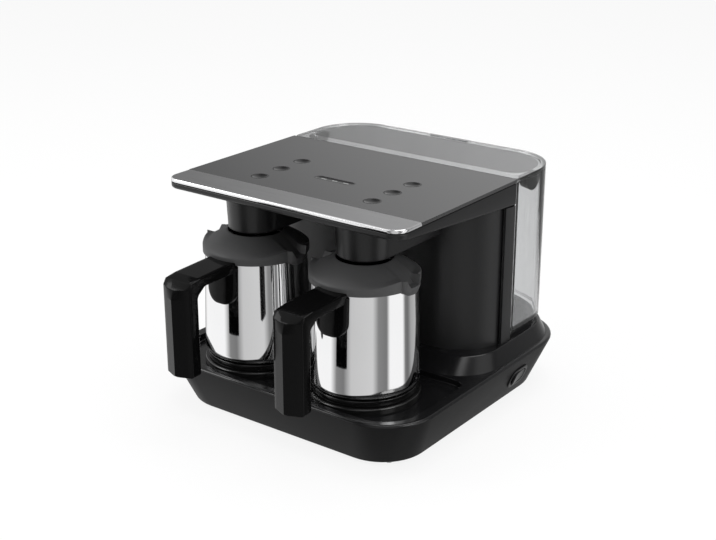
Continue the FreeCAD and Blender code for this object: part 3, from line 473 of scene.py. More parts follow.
def build_base():
    """Outer wall, rim, tray, ramp and seat as carried profiles, joined by level fills. The faces
    that look down, above all the sloping outer walls, are rougher, with a darker colour and weaker
    gloss that are painted shade; the rest is polished."""
    skin = Skin()
    low = base_low.z
    slope = base_taper / (rim_level - low)
    ceiling = tray_floor - base_wall
    profile = softened([
        (slope * (rim_level - ceiling) + base_wall, ceiling, 0),
        (base_taper + base_wall, low, 0),
        (base_taper, low, base_foot_round),
        (0, rim_level, rim_round),
        (rim_round * 2, rim_level, 0),
    ])
    inside, rim = skin.walls([base_loop(inset, z) for inset, z in profile])
    skin.fill(inside, upward=False)
    # The walls face outwards when the loops run upwards and then inwards
    edge = softened([
        (tray_edge * 1.1, rim_level, 0), (0, rim_level, tray_edge),
        (0, tray_floor, tray_cove), (-tray_cove * 2, tray_floor, 0),
    ])
    tray_rim, tray_bottom = skin.walls([tray_loop(outset, z) for outset, z in edge])
    skin.fill(tray_bottom)
    run = platform_ramp
    ramp = softened([
        (0, rim_level, 0), (run, platform_level, platform_brow), (run * 1.4, platform_level, 0),
    ], 10)
    foot, brow = skin.walls([platform_loop(across / run, z) for across, z in ramp])
    skin.fill(rim, [tray_rim, foot])
    side = softened([
        (-seat_edge, platform_level, 0), (0, platform_level, 0),
        (0, seat_level, seat_edge), (seat_edge * 2, seat_level, 0),
    ])
    seat_foot, seat_top = skin.walls([seat_loop(inset, z) for inset, z in side])
    skin.fill(brow, [seat_foot])
    round_well = circle(0, middle("inlet_socket")[1], well_radius)
    mouth, well = skin.walls([lifted(round_well, z) for z in (seat_level, well_floor)])
    skin.fill(seat_top, [mouth])
    skin.fill(well)
    base = skin.piece("base_shell", base_black, "root", "gloss_black", "base_housing", "rear_platform")
    base.data.materials.append(shade_painted_black)
    # The faces that look down take the rougher black with its painted shade
    painted_shade_faces = np.array([face.normal.z < down_facing for face in base.data.polygons])
    base.data.polygons.foreach_set("material_index", painted_shade_faces.astype(np.int32))
    return base


base_shell = build_base()


# Power switch: a bezel pressed into the sloping right wall of the base, and a rocker cap that
# tips on its cross pin. Both are black plastic, the cap a shade lighter, with a hollowed face.

switch_place = (130.56 * mm, 79.45 * mm, 24 * mm)
wall_slope = math.atan(base_taper / (rim_level - base_low.z))
switch_length = 24 * mm
switch_height = 16.6 * mm
bezel_border = 2.2 * mm
bezel_proud = 1.2 * mm
liner_depth = 4.5 * mm
rocker_inset = 1.4 * mm
rocker_proud = 2.2 * mm
rocker_hollow = 0.8 * mm
rocker_skirt = 0.4 * mm
rocker_rest = math.radians(6.0)
rocker_round = 0.9 * mm
rocker_rings = (1.8 * mm, 3.2 * mm, 4.6 * mm)
bezel_round = 0.7 * mm
bezel_lift = 0.1 * mm
bezel_overlap = 1.0 * mm
liner_inset = 0.05 * mm
opening_play = 0.2 * mm
cutter_reach = 9 * mm
pill_share = 0.42


def pill_loop(length, height, inset, depth):
    """A rounded block's outline on the wall: length along y, height along z, facing outwards."""
    half_y = length / 2 - inset
    half_z = height / 2 - inset
    radius = max(pill_share * height - inset, 0.2 * mm)
    plan = outline(-half_y, half_y, -half_z, half_z, radius, radius, 10)
    return np.column_stack([np.broadcast_to(depth, len(plan)), plan])


def on_wall(points, tilt=0.0):
    """Tip about the cross pin, lean back with the wall, then move to the switch's place."""
    x, y, z = points.T
    x, y = x * math.cos(tilt) - y * math.sin(tilt), x * math.sin(tilt) + y * math.cos(tilt)
    out = x * math.cos(wall_slope) + z * math.sin(wall_slope)
    up = z * math.cos(wall_slope) - x * math.sin(wall_slope)
    return np.stack([out, y, up], axis=1) + np.array(switch_place)


def build_bezel():
    """A band carried round the pill: up the liner's outside, under and over the rim, and back
    down the liner's inside."""
    skin = Skin()
    length = switch_length + 2 * bezel_border
    height = switch_height + 2 * bezel_border
    outside = bezel_border + liner_inset
    inside = bezel_border + bezel_overlap
    profile = softened([
        (outside, -liner_depth, 0), (outside, bezel_lift, 0), (0, bezel_lift, 0),
        (0, bezel_proud, bezel_round), (inside, bezel_proud, bezel_round), (inside, -liner_depth, 0),
    ], 5)
    first, last = skin.walls([pill_loop(length, height, inset, depth) for inset, depth in profile])
    skin.wall(last, first)
    skin.placed(on_wall)
    return skin.piece("switch_frame", shell_black, "root", "black_shell", "switch_bezel")


def build_rocker():
    """The cap's face is a shallow cylinder, lowest in the middle of its length."""
    skin = Skin()
    profile = softened([
        (0, -rocker_skirt, 0), (0, rocker_proud, rocker_round), (rocker_rings[0], rocker_proud, 0),
    ], 5)
    profile = np.concatenate([profile, [(inset, rocker_proud) for inset in rocker_rings[1:]]])
    length = switch_length - 2 * rocker_inset
    height = switch_height - 2 * rocker_inset
    rows = []
    for inset, depth in profile:
        row = pill_loop(length, height, inset, depth)
        reach = np.clip(abs(row[:, 1]) / (switch_length / 2 - rocker_inset), 0, 1)
        row[:, 0] = np.where(depth > 0, depth - rocker_hollow * (1 - reach ** 2), depth)
        rows.append(row)
    skin.shut_walls(rows)
    skin.placed(lambda points: on_wall(points, rocker_rest))
    return skin.piece("rocker_cap", rocker_grey, "power_rocker", "rocker_grey", "power_rocker")


def cut_switch_opening():
    """Open the base's wall behind the bezel with a closed pill that is then thrown away."""
    skin = Skin()
    length = switch_length + opening_play
    height = switch_height + opening_play
    skin.shut_walls([pill_loop(length, height, 0, depth) for depth in (-cutter_reach, cutter_reach)])
    skin.placed(on_wall)
    cutter = skin.piece("cutter", base_black, "root", "gloss_black")
    cut = base_shell.modifiers.new("opening", "BOOLEAN")
    cut.object = cutter
    cut.solver = "EXACT"
    shown = base_shell.evaluated_get(bpy.context.evaluated_depsgraph_get())
    opened = bpy.data.meshes.new_from_object(shown)
    base_shell.modifiers.clear()
    base_shell.data = opened
    bpy.data.objects.remove(cutter)
    crisp(base_shell)


rocker_grey = moulded("rocker_grey", (0.014, 0.014, 0.0145), 0.34, specular=0.2)
cut_switch_opening()
build_bezel()
build_rocker()


# Column and rear panel: the column is a deep U of black plastic with wide front corners, and the
# panel behind it is a shallow channel whose flanges close its open side. Both stand on the
# platform and run up to the sloping underside of the header.

column_low, column_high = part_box("column_housing")
panel_low, panel_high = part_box("rear_panel")
deck_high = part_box("control_plate")[1]
strip_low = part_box("front_strip")[0]
deck_front = strip_low.y
deck_rear = deck_high.y
deck_half = deck_high.x
deck_level = deck_high.z
header_front_height = 9 * mm
header_rear_height = 24 * mm
column_corner = 50 * mm
column_wall = 3 * mm
panel_wall = 2.5 * mm
panel_corner = 1.6 * mm
flange_length = 17 * mm


def underside(y):
    """Height of the header's underside: it falls in a straight line from front to rear."""
    share = (y - deck_front) / (deck_rear - deck_front)
    return deck_level - header_front_height - (header_rear_height - header_front_height) * share


def sheet_wall(path, thickness, z0):
    """A standing wall along an open plan line, from a level up to the header's underside. Its
    section is a closed band: up the outside, over, down the inside and back under."""
    skin = Skin()
    heading = np.gradient(path, axis=0)
    heading = heading / np.linalg.norm(heading, axis=1)[:, None]
    inward = np.stack([-heading[:, 1], heading[:, 0]], axis=1)
    inner = path + inward * thickness
    rows = [lifted(path, z0), lifted(path, underside(path[:, 1])),
            lifted(inner, underside(inner[:, 1])), lifted(inner, z0)]
    numbers = [skin.loop(row) for row in rows]
    for lower, upper in zip(numbers, numbers[1:] + numbers[:1]):
        skin.wall(lower, upper, closed=False)
    skin.faces.append([number[0] for number in numbers])
    skin.faces.append([number[-1] for number in numbers[::-1]])
    return skin


def build_column():
    """The wall's plan runs from the rear left, round both front corners, to the rear right."""
    half = column_high.x
    rear = column_high.y
    front = column_low.y
    path = softened([(-half, rear, 0), (-half, front, column_corner), (half, front, column_corner),
                     (half, rear, 0)], 28)
    return crisp(sheet_wall(path, column_wall, column_low.z).piece(
        "column_shell", column_black, "root", "black_shell", "column_housing"))


def build_panel():
    """The wall's plan runs from the right flange, across the rear, to the left flange."""
    half = panel_high.x
    rear = panel_high.y
    front = rear - flange_length
    path = softened([(half, front, 0), (half, rear, panel_corner), (-half, rear, panel_corner),
                     (-half, front, 0)], 6)
    return crisp(sheet_wall(path, panel_wall, panel_low.z).piece(
        "rear_channel", shell_black, "root", "black_shell", "rear_panel"))


column_black = moulded("column_black", (0.0095, 0.0095, 0.01), 0.42, specular=0.4)
build_column()
build_panel()


# Header: a thin black tray under the deck. It is shallow at the front and deep at the rear, with
# softly rounded lower edges, and the key board stands inside it.

header_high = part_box("header_housing")[1]
deck_corner = 13 * mm
header_wall = 2.5 * mm
header_round = 2.6 * mm
header_rear_corner = 1.4 * mm
sharpest_corner = 0.3 * mm
# How the header's upper edge turns in towards the deck: inset and drop
header_brim = [(0, 0.6 * mm), (0.25 * mm, 0.15 * mm), (0.7 * mm, 0)]


def deck_loop(inset, z):
    """The deck's plan at a level, or at the height that a function of y gives."""
    plan = outline(-deck_half + inset, deck_half - inset, deck_front + inset, deck_rear - inset,
                   deck_corner - inset, max(header_rear_corner - inset, sharpest_corner))
    return lifted(plan, z(plan[:, 1]) if callable(z) else z)


def build_header():
    """From the middle of the underside out round a quarter circle, up the side, over the brim
    and down into the tray."""
    skin = Skin()
    turn = np.linspace(0, math.pi / 2, 8)
    rows = [deck_loop(header_round * 1.15, underside)]
    for angle in turn:
        rise = header_round * (1 - math.sin(angle))
        inset = header_round * (1 - math.cos(angle))
        rows.insert(1, deck_loop(inset, lambda y, rise=rise: underside(y) + rise))
    rows += [deck_loop(inset, header_high.z - drop) for inset, drop in header_brim]
    rows.append(deck_loop(header_wall, header_high.z))
    rows.append(deck_loop(header_wall, lambda y: underside(y) + header_wall))
    skin.shut_walls(rows)
    return skin.piece("header_shell", shell_black, "root", "black_shell", "header_housing")


build_header()


# Deck: a smoked glass plate with round holes for the keys and a pill shaped one for the display,
# and in front of it a strip of brushed metal with a polished bevel. A rubber line seals both.

strip_depth = 30.5 * mm
bevel = 0.8 * mm
strip_edge = 0.2 * mm


def smoked_glass():
    """Black glass under a thin grey film: the film's tone drifts a little across the deck."""
    finish = Finish(bpy.data.materials.new("deck_glass"))
    place = finish.node("ShaderNodeTexCoord", output="Object")
    drift = finish.node("ShaderNodeTexNoise", inputs={"Vector": place, "Scale": 3.0, "Detail": 1.0})
    smear = finish.node("ShaderNodeTexNoise", inputs={"Vector": place, "Scale": 60.0, "Detail": 4.0})
    shader = finish.tree.nodes["Principled BSDF"]
    film = finish.mix(drift, (0.022, 0.022, 0.023, 1), (0.04, 0.04, 0.041, 1))
    finish.feed(shader.inputs["Base Color"], film)
    finish.feed(shader.inputs["Roughness"], 0.08 + 0.05 * smear)
    shader.inputs["Specular IOR Level"].default_value = 0.55
    return finish.owner


def brushed_metal(name, colour, roughness, streak_scale):
    """Metal brushed along x: long thin streaks of noise in its tone, gloss and surface."""
    finish = Finish(bpy.data.materials.new(name))
    place = finish.node("ShaderNodeTexCoord", output="Object")
    stretched = finish.node("ShaderNodeMapping", inputs={"Vector": place, "Scale": (0.02, 1, 1)})
    streaks = finish.node("ShaderNodeTexNoise", inputs={
        "Vector": stretched, "Scale": streak_scale, "Detail": 3.0})
    shader = finish.tree.nodes["Principled BSDF"]
    finish.feed(shader.inputs["Base Color"], finish.mix(streaks, shade(colour, 0.8), shade(colour, 1.15)))
    finish.feed(shader.inputs["Roughness"], roughness * (0.8 + 0.4 * streaks))
    finish.feed(shader.inputs["Normal"], finish.node(
        "ShaderNodeBump", inputs={"Strength": 0.12, "Distance": 0.02 * mm, "Height": streaks}))
    shader.inputs["Metallic"].default_value = 1.0
    return finish.owner


def build_strip():
    """The plan's front and sides step in for the bevel; its rear edge stays where it is."""
    skin = Skin()
    rear = deck_front + strip_depth
    profile = softened([
        (strip_edge, strip_low.z, 0), (0, strip_low.z + strip_edge, 0),
        (0, deck_level - bevel, strip_edge), (bevel, deck_level, strip_edge), (bevel * 1.6, deck_level, 0),
    ], 3)
    rows = []
    for inset, z in profile:
        plan = outline(-deck_half + inset, deck_half - inset, deck_front + inset, rear,
                       deck_corner - inset, strip_edge)
        rows.append(lifted(plan, z))
    skin.shut_walls(rows)
    strip = skin.piece("strip_metal", brushed, "root", "brushed_strip", "front_strip")
    strip.data.materials.append(polished)
    # The bevel and the sides are polished, and the top is brushed
    height = np.array([face.center.z for face in strip.data.polygons])
    steep = np.array([abs(face.normal.z) < 0.9 for face in strip.data.polygons])
    shiny = steep & (height > strip_low.z)
    strip.data.polygons.foreach_set("material_index", shiny.astype(np.int32))
    return strip


deck_glass = smoked_glass()
brushed = brushed_metal("brushed", (0.36, 0.36, 0.365), 0.3, 900.0)
polished = brushed_metal("polished", (0.86, 0.86, 0.87), 0.12, 300.0)
seal_rubber = moulded("seal_rubber", (0.006, 0.006, 0.006), 0.7, specular=0.2)
build_strip()


def dress(node, finish):
    """Give a carried over piece its finish."""
    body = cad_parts[node]
    body.data.materials.clear()
    body.data.materials.append(finish)


dress("control_plate", deck_glass)
dress("plate_seal", seal_rubber)


# Keys: six round push keys with dished tops, level with the glass, each on a flange and a stem.
# They are moulded nearly black, with a gloss like the deck's.

dish_depth = 1.25 * mm
key_radius = 7.5 * mm
key_rim = 0.35 * mm
key_edge = 0.1 * mm
key_stem = 3.5 * mm
key_neck = 2.7 * mm
key_flange = 0.9 * mm


def turned_skin(profile, x, y, count):
    """A profile of (radius, height) carried round a standing axis, with both its ends closed."""
    skin = Skin()
    skin.shut_walls([lifted(circle(x, y, radius, count), z) for radius, z in profile])
    return skin


def build_key(name):
    """Stem, flange, cap and dish turned in one; the dish is a parabola of the radius."""
    low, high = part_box(name)
    x, y = middle(name)
    flange = high.x - x
    neck = low.z + key_neck
    dish_radius = key_radius - 2 * key_rim
    profile = [
        (key_stem, low.z), (key_stem, neck - key_flange), (flange, neck - key_flange), (flange, neck),
        (key_radius, neck), (key_radius, high.z - key_rim),
        (key_radius - key_edge, high.z - key_edge), (key_radius - key_rim, high.z),
    ]
    profile += [(dish_radius * s, high.z - dish_depth * (1 - s * s)) for s in np.linspace(1, 0.06, 14)]
    cap = turned_skin(profile, x, y, 64).piece("cap_" + name, key_grey, name, "deck_glass", name)
    return crisp(cap, 60)


key_grey = moulded("key_grey", (0.004, 0.004, 0.0042), 0.1, grain=0.01, specular=0.35)
for side in ("left", "right"):
    for row in (1, 2, 3):
        build_key("key_" + side + "_" + str(row))


# Display window: one long pill of dark acrylic, dished like the keys, over a row of lamps. Three
# short plain bars show faintly in it.

window_low, window_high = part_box("display_window")
window_dish = 0.6 * mm
window_edge = 0.25 * mm
window_brim = 0.5 * mm
# Keeps the ends of the pill a hair short of full half circles, so that no two points meet
window_flat = 0.001 * mm
bar_pitch = 12 * mm
bar_length = 5.5 * mm
bar_width = 1.3 * mm


def acrylic_with_bars():
    """Dark acrylic; a bar is where the distance to the nearest bar's centre, along and across,
    is under half its length and width. Nearest by wrapping x to the bars' pitch."""
    finish = Finish(bpy.data.materials.new("acrylic"))
    place = finish.node("ShaderNodeTexCoord", output="Object")
    split = finish.node("ShaderNodeSeparateXYZ", inputs={0: place})
    across = Term(finish, split.socket.node.outputs["Y"])
    middle = (window_low.y + window_high.y) / 2
    wrapped = finish.node("ShaderNodeMath", {"operation": "WRAP"},
                          {0: split, 1: bar_pitch / 2, 2: -bar_pitch / 2})
    along = finish.node("ShaderNodeMath", {"operation": "ABSOLUTE"}, {0: wrapped})
    aside = finish.node("ShaderNodeMath", {"operation": "ABSOLUTE"}, {0: across - middle})
    inside_length = along.maths("LESS_THAN", along, bar_length / 2)
    inside_width = aside.maths("LESS_THAN", aside, bar_width / 2)
    clouds = finish.node("ShaderNodeTexNoise", inputs={"Vector": place, "Scale": 700.0})
    shader = finish.tree.nodes["Principled BSDF"]
    bars = inside_length * inside_width * (0.6 + 0.8 * clouds)
    lit = finish.mix(bars, (0.004, 0.004, 0.0042, 1), (0.3, 0.3, 0.3, 1))
    finish.feed(shader.inputs["Base Color"], lit)
    finish.feed(shader.inputs["Roughness"], 0.1 + 0.05 * clouds)
    return finish.owner


def build_window():
    """Pills drawn in step by step; past the brim their depth is a parabola of the inset."""
    skin = Skin()
    low, high = window_low, window_high
    half_y = (high.y - low.y) / 2
    reach = half_y - window_brim
    profile = [(0, low.z), (0, high.z - window_edge), (window_edge, high.z)]
    profile += [(half_y - reach * s, high.z - window_dish * (1 - s * s)) for s in np.linspace(1, 0.12, 9)]
    rows = []
    for inset, z in profile:
        radius = half_y - inset - window_flat
        plan = outline(low.x + inset, high.x - inset, low.y + inset, high.y - inset, radius, radius, 12)
        rows.append(lifted(plan, z))
    skin.shut_walls(rows)
    pill = skin.piece("window_pill", acrylic_with_bars(), "root", "display", "display_window")
    return crisp(pill, 60)


build_window()


# Brew heads: two hollow black mouldings that hang from the header over the pots, round nosed and
# slightly tapered. A steel nozzle and a glossy overflow sensor look out of each flat bottom.

head_top_radius = 25.8 * mm
head_bottom_radius = 24.2 * mm
head_floor = 2.5 * mm
head_edge = 1.6 * mm
nozzle_radius = 4.05 * mm
sensor_radius = 5.05 * mm
sensor_back = 6.5 * mm
# Above its rounded edge a head flares by the first over the second
head_flare = 0.1 * mm
head_flare_height = 4 * mm
head_top_inset = 0.2 * mm
head_top_gap = 0.02 * mm


def head_loop(x, y, back, radius, z):
    """A half circle nose over the pot and straight sides back to the column."""
    nose = arc(x, y, radius, np.linspace(math.pi, 2 * math.pi, 48))
    plan = np.concatenate([nose, [(x + radius, back), (x - radius, back)]])
    return lifted(plan, z(plan[:, 1]) if callable(z) else z)


def build_head(side):
    """The nosed plan carried from the flat bottom up to the header, with two blind round holes
    in the bottom for the nozzle and the sensor."""
    low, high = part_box("brew_head_" + side)
    x = middle("brew_head_" + side)[0]
    y = low.y + head_top_radius
    skin = Skin()
    bottom = low.z
    profile = softened([
        (-head_edge * 2, bottom, 0), (0, bottom, head_edge), (head_flare, bottom + head_flare_height, 0),
    ])
    rows = [head_loop(x, y, high.y, head_bottom_radius + grow, z) for grow, z in profile]
    top_radius = head_top_radius - head_top_inset
    rows.append(head_loop(x, y, high.y, top_radius, lambda along: underside(along) - head_top_gap))
    first, last = skin.walls(rows)
    nozzle_y = middle("water_nozzle_" + side)[1]
    sensor_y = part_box("overflow_sensor_" + side)[1].y - sensor_back
    holes = []
    for centre, radius in ((nozzle_y, nozzle_radius), (sensor_y, sensor_radius)):
        hole = circle(x, centre, radius, 40)
        mouth, end = skin.walls([lifted(hole, z) for z in (bottom + head_floor, bottom)])
        skin.fill(mouth, upward=False)
        holes.append(end)
    skin.fill(first, holes, upward=False)
    skin.lid(last)
    head = skin.piece("head_" + side, head_black, "root", "black_shell", "brew_head_" + side)
    return crisp(head, 50)


head_black = moulded("head_black", (0.0085, 0.0085, 0.009), 0.3, grain=0.03, specular=0.4)
for side in ("left", "right"):
    build_head(side)


# Water tank: clear plastic with rounded rear corners, moulded with a spout under its floor. Its
# walls are thick enough to bend the light, which draws grey and bright lines along the corners.

tank_low, tank_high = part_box("tank_shell")
tank_rear_corner = 47 * mm
tank_front_corner = 4 * mm
tank_wall = 2.5 * mm
tank_floor_level = 66.1 * mm
tank_rim_level = 208.5 * mm
tank_edge = 1.0 * mm
tank_rim_round = 0.6 * mm
tank_least_corner = 0.6 * mm
tank_inner_level = tank_floor_level + 3 * mm
spout_outer = 8.0 * mm
spout_bore = 4.0 * mm
spout_edge = 0.4 * mm


def clear_plastic(name, tint, roughness, specks, wave_scale, wave_height):
    """Clear or smoked plastic: full transmission through a tint, with faint upright waves."""
    finish = Finish(bpy.data.materials.new(name))
    place = finish.node("ShaderNodeTexCoord", output="Object")
    tall = finish.node("ShaderNodeMapping", inputs={"Vector": place, "Scale": (1, 1, 0.12)})
    waves = finish.node("ShaderNodeTexNoise", inputs={"Vector": tall, "Scale": wave_scale, "Detail": 2.0})
    fine = finish.node("ShaderNodeTexNoise", inputs={"Vector": place, "Scale": specks})
    shader = finish.tree.nodes["Principled BSDF"]
    finish.feed(shader.inputs["Base Color"], finish.mix(waves, shade(tint, 0.93), shade(tint, 1.04)))
    finish.feed(shader.inputs["Roughness"], roughness * (0.7 + 0.6 * fine))
    finish.feed(shader.inputs["Normal"], finish.node(
        "ShaderNodeBump", inputs={"Strength": 0.5, "Distance": wave_height, "Height": waves}))
    shader.inputs["Transmission Weight"].default_value = 1.0
    shader.inputs["IOR"].default_value = 1.49
    return finish.owner


def tank_loop(inset, z):
    """The tank's plan, drawn in from its outside."""
    plan = outline(tank_low.x + inset, tank_high.x - inset, tank_low.y + inset, tank_high.y - inset,
                   max(tank_front_corner - inset, tank_least_corner), tank_rear_corner - inset, 20)
    return lifted(plan, z)


clear = clear_plastic("clear_tank", (0.88, 0.885, 0.89), 0.02, 300.0, 50.0, 0.45 * mm)


def build_tank():
    """Up the outside, over the rim, down the inside and across the floor; the bore joins both
    floors through the spout."""
    skin = Skin()
    profile = softened([
        (tank_edge * 2, tank_floor_level, 0), (0, tank_floor_level, tank_edge * 1.5),
        (0, tank_rim_level, tank_rim_round), (tank_wall, tank_rim_level, tank_rim_round),
        (tank_wall, tank_inner_level, tank_edge * 2), (tank_wall + tank_edge * 4, tank_inner_level, 0),
    ], 6)
    outside, inside = skin.walls([tank_loop(inset, z) for inset, z in profile])
    y = middle("inlet_socket")[1]
    spout = [
        (spout_bore, tank_inner_level), (spout_bore, tank_low.z + spout_edge),
        (spout_bore + spout_edge, tank_low.z), (spout_outer - spout_edge, tank_low.z),
        (spout_outer, tank_low.z + spout_edge), (spout_outer, tank_floor_level),
    ]
    under, over = skin.walls([lifted(circle(0, y, radius, 48), z) for radius, z in spout])
    skin.fill(inside, [under])
    skin.fill(outside, [over], upward=False)
    return crisp(skin.piece("tank_clear", clear, "tank", "clear_tank", "tank_shell"), 50)


build_tank()


# Tank lid: smoked clear plastic with a raised rim, a broad ledge along the deck and a sunk panel
#  whose face is tinted darker as painted shade. A steel pin hinges it at the middle of its rear edge.

lid_low, lid_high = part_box("tank_lid")
lid_rim = 5.0 * mm
lid_ledge = 13 * mm
lid_ledge_corner = 16 * mm
lid_panel_drop = 1.2 * mm
lid_edge = 0.6 * mm
panel_slope = 0.4 * mm
panel_margin = 2 * mm


def panel_loop(inset, z):
    """The sunk panel's plan: inside the rim, with rounded corners along the ledge."""
    plan = outline(
        tank_low.x + lid_rim + inset, tank_high.x - lid_rim - inset,
        tank_low.y + lid_ledge + inset, tank_high.y - lid_rim - inset,
        lid_ledge_corner - inset, tank_rear_corner - lid_rim - inset, 20,
    )
    return lifted(plan, z)


def build_lid():
    """A rounded slab whose top steps down into the sunk panel; the panel's own flat face takes
    a darker tint, which is painted shade."""
    skin = Skin()
    low = lid_low.z
    high = lid_high.z
    panel = high - lid_panel_drop
    edge = softened([
        (lid_edge * 2, low, 0), (0, low, lid_edge), (0, high, lid_edge), (lid_edge * 2, high, 0),
    ], 5)
    first, last = skin.walls([tank_loop(inset, z) for inset, z in edge])
    skin.lid(first, reverse=True)
    step = softened([
        (-lid_edge, high, 0), (0, high, lid_edge / 2),
        (panel_slope, panel, lid_edge / 2), (panel_margin, panel, 0),
    ], 4)
    brim, floor = skin.walls([panel_loop(inset, z) for inset, z in step])
    skin.fill(last, [brim])
    skin.lid(floor)
    lid = skin.piece("lid_smoke", smoke, "lid", "smoke_lid", "tank_lid")
    lid.data.materials.append(shade_painted_smoke)
    sunk = np.array([len(face.vertices) > 4 and face.normal.z > 0.9 for face in lid.data.polygons])
    lid.data.polygons.foreach_set("material_index", sunk.astype(np.int32))
    return crisp(lid, 50)


smoke = clear_plastic("smoke_lid", (0.72, 0.725, 0.73), 0.08, 200.0, 26.0, 0.05 * mm)
# A darker tint for the sunk panel's face: painted shade
shade_painted_smoke = clear_plastic("shade_painted_smoke", (0.15, 0.151, 0.153), 0.1, 200.0, 26.0, 0.05 * mm)
build_lid()


# Hot plates: round plates of dark enamelled steel with a rolled edge, a shallow ring groove and
# a skirt that drops through the tray. A rubber ring seals each to the tray.

plate_lip = 1.4 * mm
groove_radius = 36 * mm
groove_depth = 0.35 * mm
groove_half = 1 * mm
groove_round = 0.4 * mm
skirt_radius = 42 * mm
plate_lift = 1.0 * mm
# Radius of the small flat that closes a turned piece at its axis
axis_flat = 2 * mm


def build_hotplate(side):
    """Up the skirt, out under the plate, round its lip and over the groove to the middle."""
    low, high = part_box("hotplate_" + side)
    x, y = middle("hotplate_" + side)
    radius = (high.x - low.x) / 2
    under = tray_floor + plate_lift
    profile = softened([
        (skirt_radius, low.z, 0), (skirt_radius, under, 0), (radius - 0.3 * mm, under, 0),
        (radius, high.z, plate_lip), (groove_radius + groove_half, high.z, groove_round),
        (groove_radius, high.z - groove_depth, groove_round),
        (groove_radius - groove_half, high.z, groove_round), (axis_flat, high.z, 0),
    ], 6)
    return crisp(turned_skin(profile, x, y, 144).piece(
        "plate_" + side, enamel, "root", "gloss_black", "hotplate_" + side), 40)


enamel = moulded("enamel", (0.008, 0.008, 0.008), 0.16, grain=0.02, specular=0.5)
for side in ("left", "right"):
    build_hotplate(side)
    dress("hotplate_seal_" + side, seal_rubber)


# Pots: each body is drawn from polished stainless steel, a little narrower at its rim than at
# its foot, with a rounded lower edge. A black ring closes the foot, and the body holds its shine
# with only faint drawing lines.

pot_rim_radius = 45 * mm
pot_foot_radius = 48.4 * mm
pot_height = 96.3 * mm
pot_edge = 7 * mm
pot_wall = 1.2 * mm
pot_rim_round = pot_wall * 0.45
pot_core = 38 * mm
ring_radius = 46 * mm
ring_inner_radius = pot_core - 3 * mm
ring_gap = 0.1 * mm


def polished_steel():
    """Bright steel: hair fine rings round the axis, seen only in the gloss."""
    finish = Finish(bpy.data.materials.new("polished_steel"))
    place = finish.node("ShaderNodeTexCoord", output="Object")
    squeezed = finish.node("ShaderNodeMapping", inputs={"Vector": place, "Scale": (0.05, 0.05, 1)})
    rings = finish.node("ShaderNodeTexNoise", inputs={"Vector": squeezed, "Scale": 1500.0, "Detail": 2.0})
    clouds = finish.node("ShaderNodeTexNoise", inputs={"Vector": place, "Scale": 14.0, "Detail": 2.0})
    shader = finish.tree.nodes["Principled BSDF"]
    bright = finish.mix(clouds, (0.86, 0.86, 0.865, 1), (0.93, 0.93, 0.935, 1))
    finish.feed(shader.inputs["Base Color"], bright)
    finish.feed(shader.inputs["Roughness"], 0.035 + 0.03 * rings + 0.02 * clouds)
    shader.inputs["Metallic"].default_value = 1.0
    return finish.owner


def pot_radius(z, foot_level):
    """Radius of the straight wall at a height above the foot."""
    return pot_foot_radius + (pot_rim_radius - pot_foot_radius) * (z - foot_level) / pot_height


def build_pot(side):
    """From the boss under the foot out round its edge, up the wall, over the rim and down the
    inside to the floor."""
    x, y = middle("pot_ring_" + side)
    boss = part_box("pot_body_" + side)[0].z + 0.6 * mm
    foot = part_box("pot_ring_" + side)[1].z
    rim = foot + pot_height
    profile = softened([
        (pot_core - 1 * mm, boss, 0), (pot_core - 0.2 * mm, foot, 0), (pot_foot_radius, foot, pot_edge),
        (pot_rim_radius, rim, pot_rim_round), (pot_rim_radius - pot_wall, rim, pot_rim_round),
        (pot_foot_radius - pot_wall, foot + pot_wall, pot_edge - pot_wall),
        (axis_flat, foot + pot_wall, 0),
    ], 10)
    return turned_skin(profile, x, y, 192).piece(
        "body_" + side, steel, "pot_" + side, "polished_steel", "pot_body_" + side)


def build_ring(side):
    """A flat band with a rounded lower edge, turned round the pot's axis."""
    low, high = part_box("pot_ring_" + side)
    x, y = middle("pot_ring_" + side)
    top = high.z - ring_gap
    profile = softened([
        (ring_inner_radius, low.z, 0), (ring_radius, low.z, 1.6 * mm),
        (ring_radius, top, 0.5 * mm), (ring_inner_radius, top, 0),
    ], 6)
    return crisp(turned_skin(profile, x, y, 144).piece(
        "foot_ring_" + side, ring_black, "pot_" + side, "gloss_black", "pot_ring_" + side), 50)


steel = polished_steel()
ring_black = moulded("ring_black", (0.006, 0.006, 0.006), 0.14, grain=0.01, specular=0.5)
for side in ("left", "right"):
    build_pot(side)
    build_ring(side)


# Pot collars: a domed ring of dark grey plastic snapped over each pot's rim, with a round mouth
# and two pouring lips, one each side, whose open channels run out over the steel.

collar_skirt = 3.2 * mm
collar_grip = 2.15 * mm
collar_shoulder = 2.6 * mm
mouth_radius = 24.5 * mm
lip_reach = 52 * mm
lip_half = 11.5 * mm
lip_wall = 2.0 * mm
lip_rise = 7.0 * mm
lip_blend = 0.4
lip_drop = 7.5 * mm
channel_floor = 0.4 * mm
channel_depth = 4.0 * mm
collar_play = 0.15 * mm
collar_thickness = 2.2 * mm
# Power of the dome's rise: under 1 it bulges
dome_power = 25 / 31
# A column this near to a lip's side is part of its wall
wall_reach = lip_wall + 0.01 * mm
# How the mouth's edge turns down: its radius less the mouth's, and its drop
mouth_turn = [(0.1 * mm, 0.2 * mm), (0, 0.8 * mm), (0.2 * mm, 2.0 * mm)]


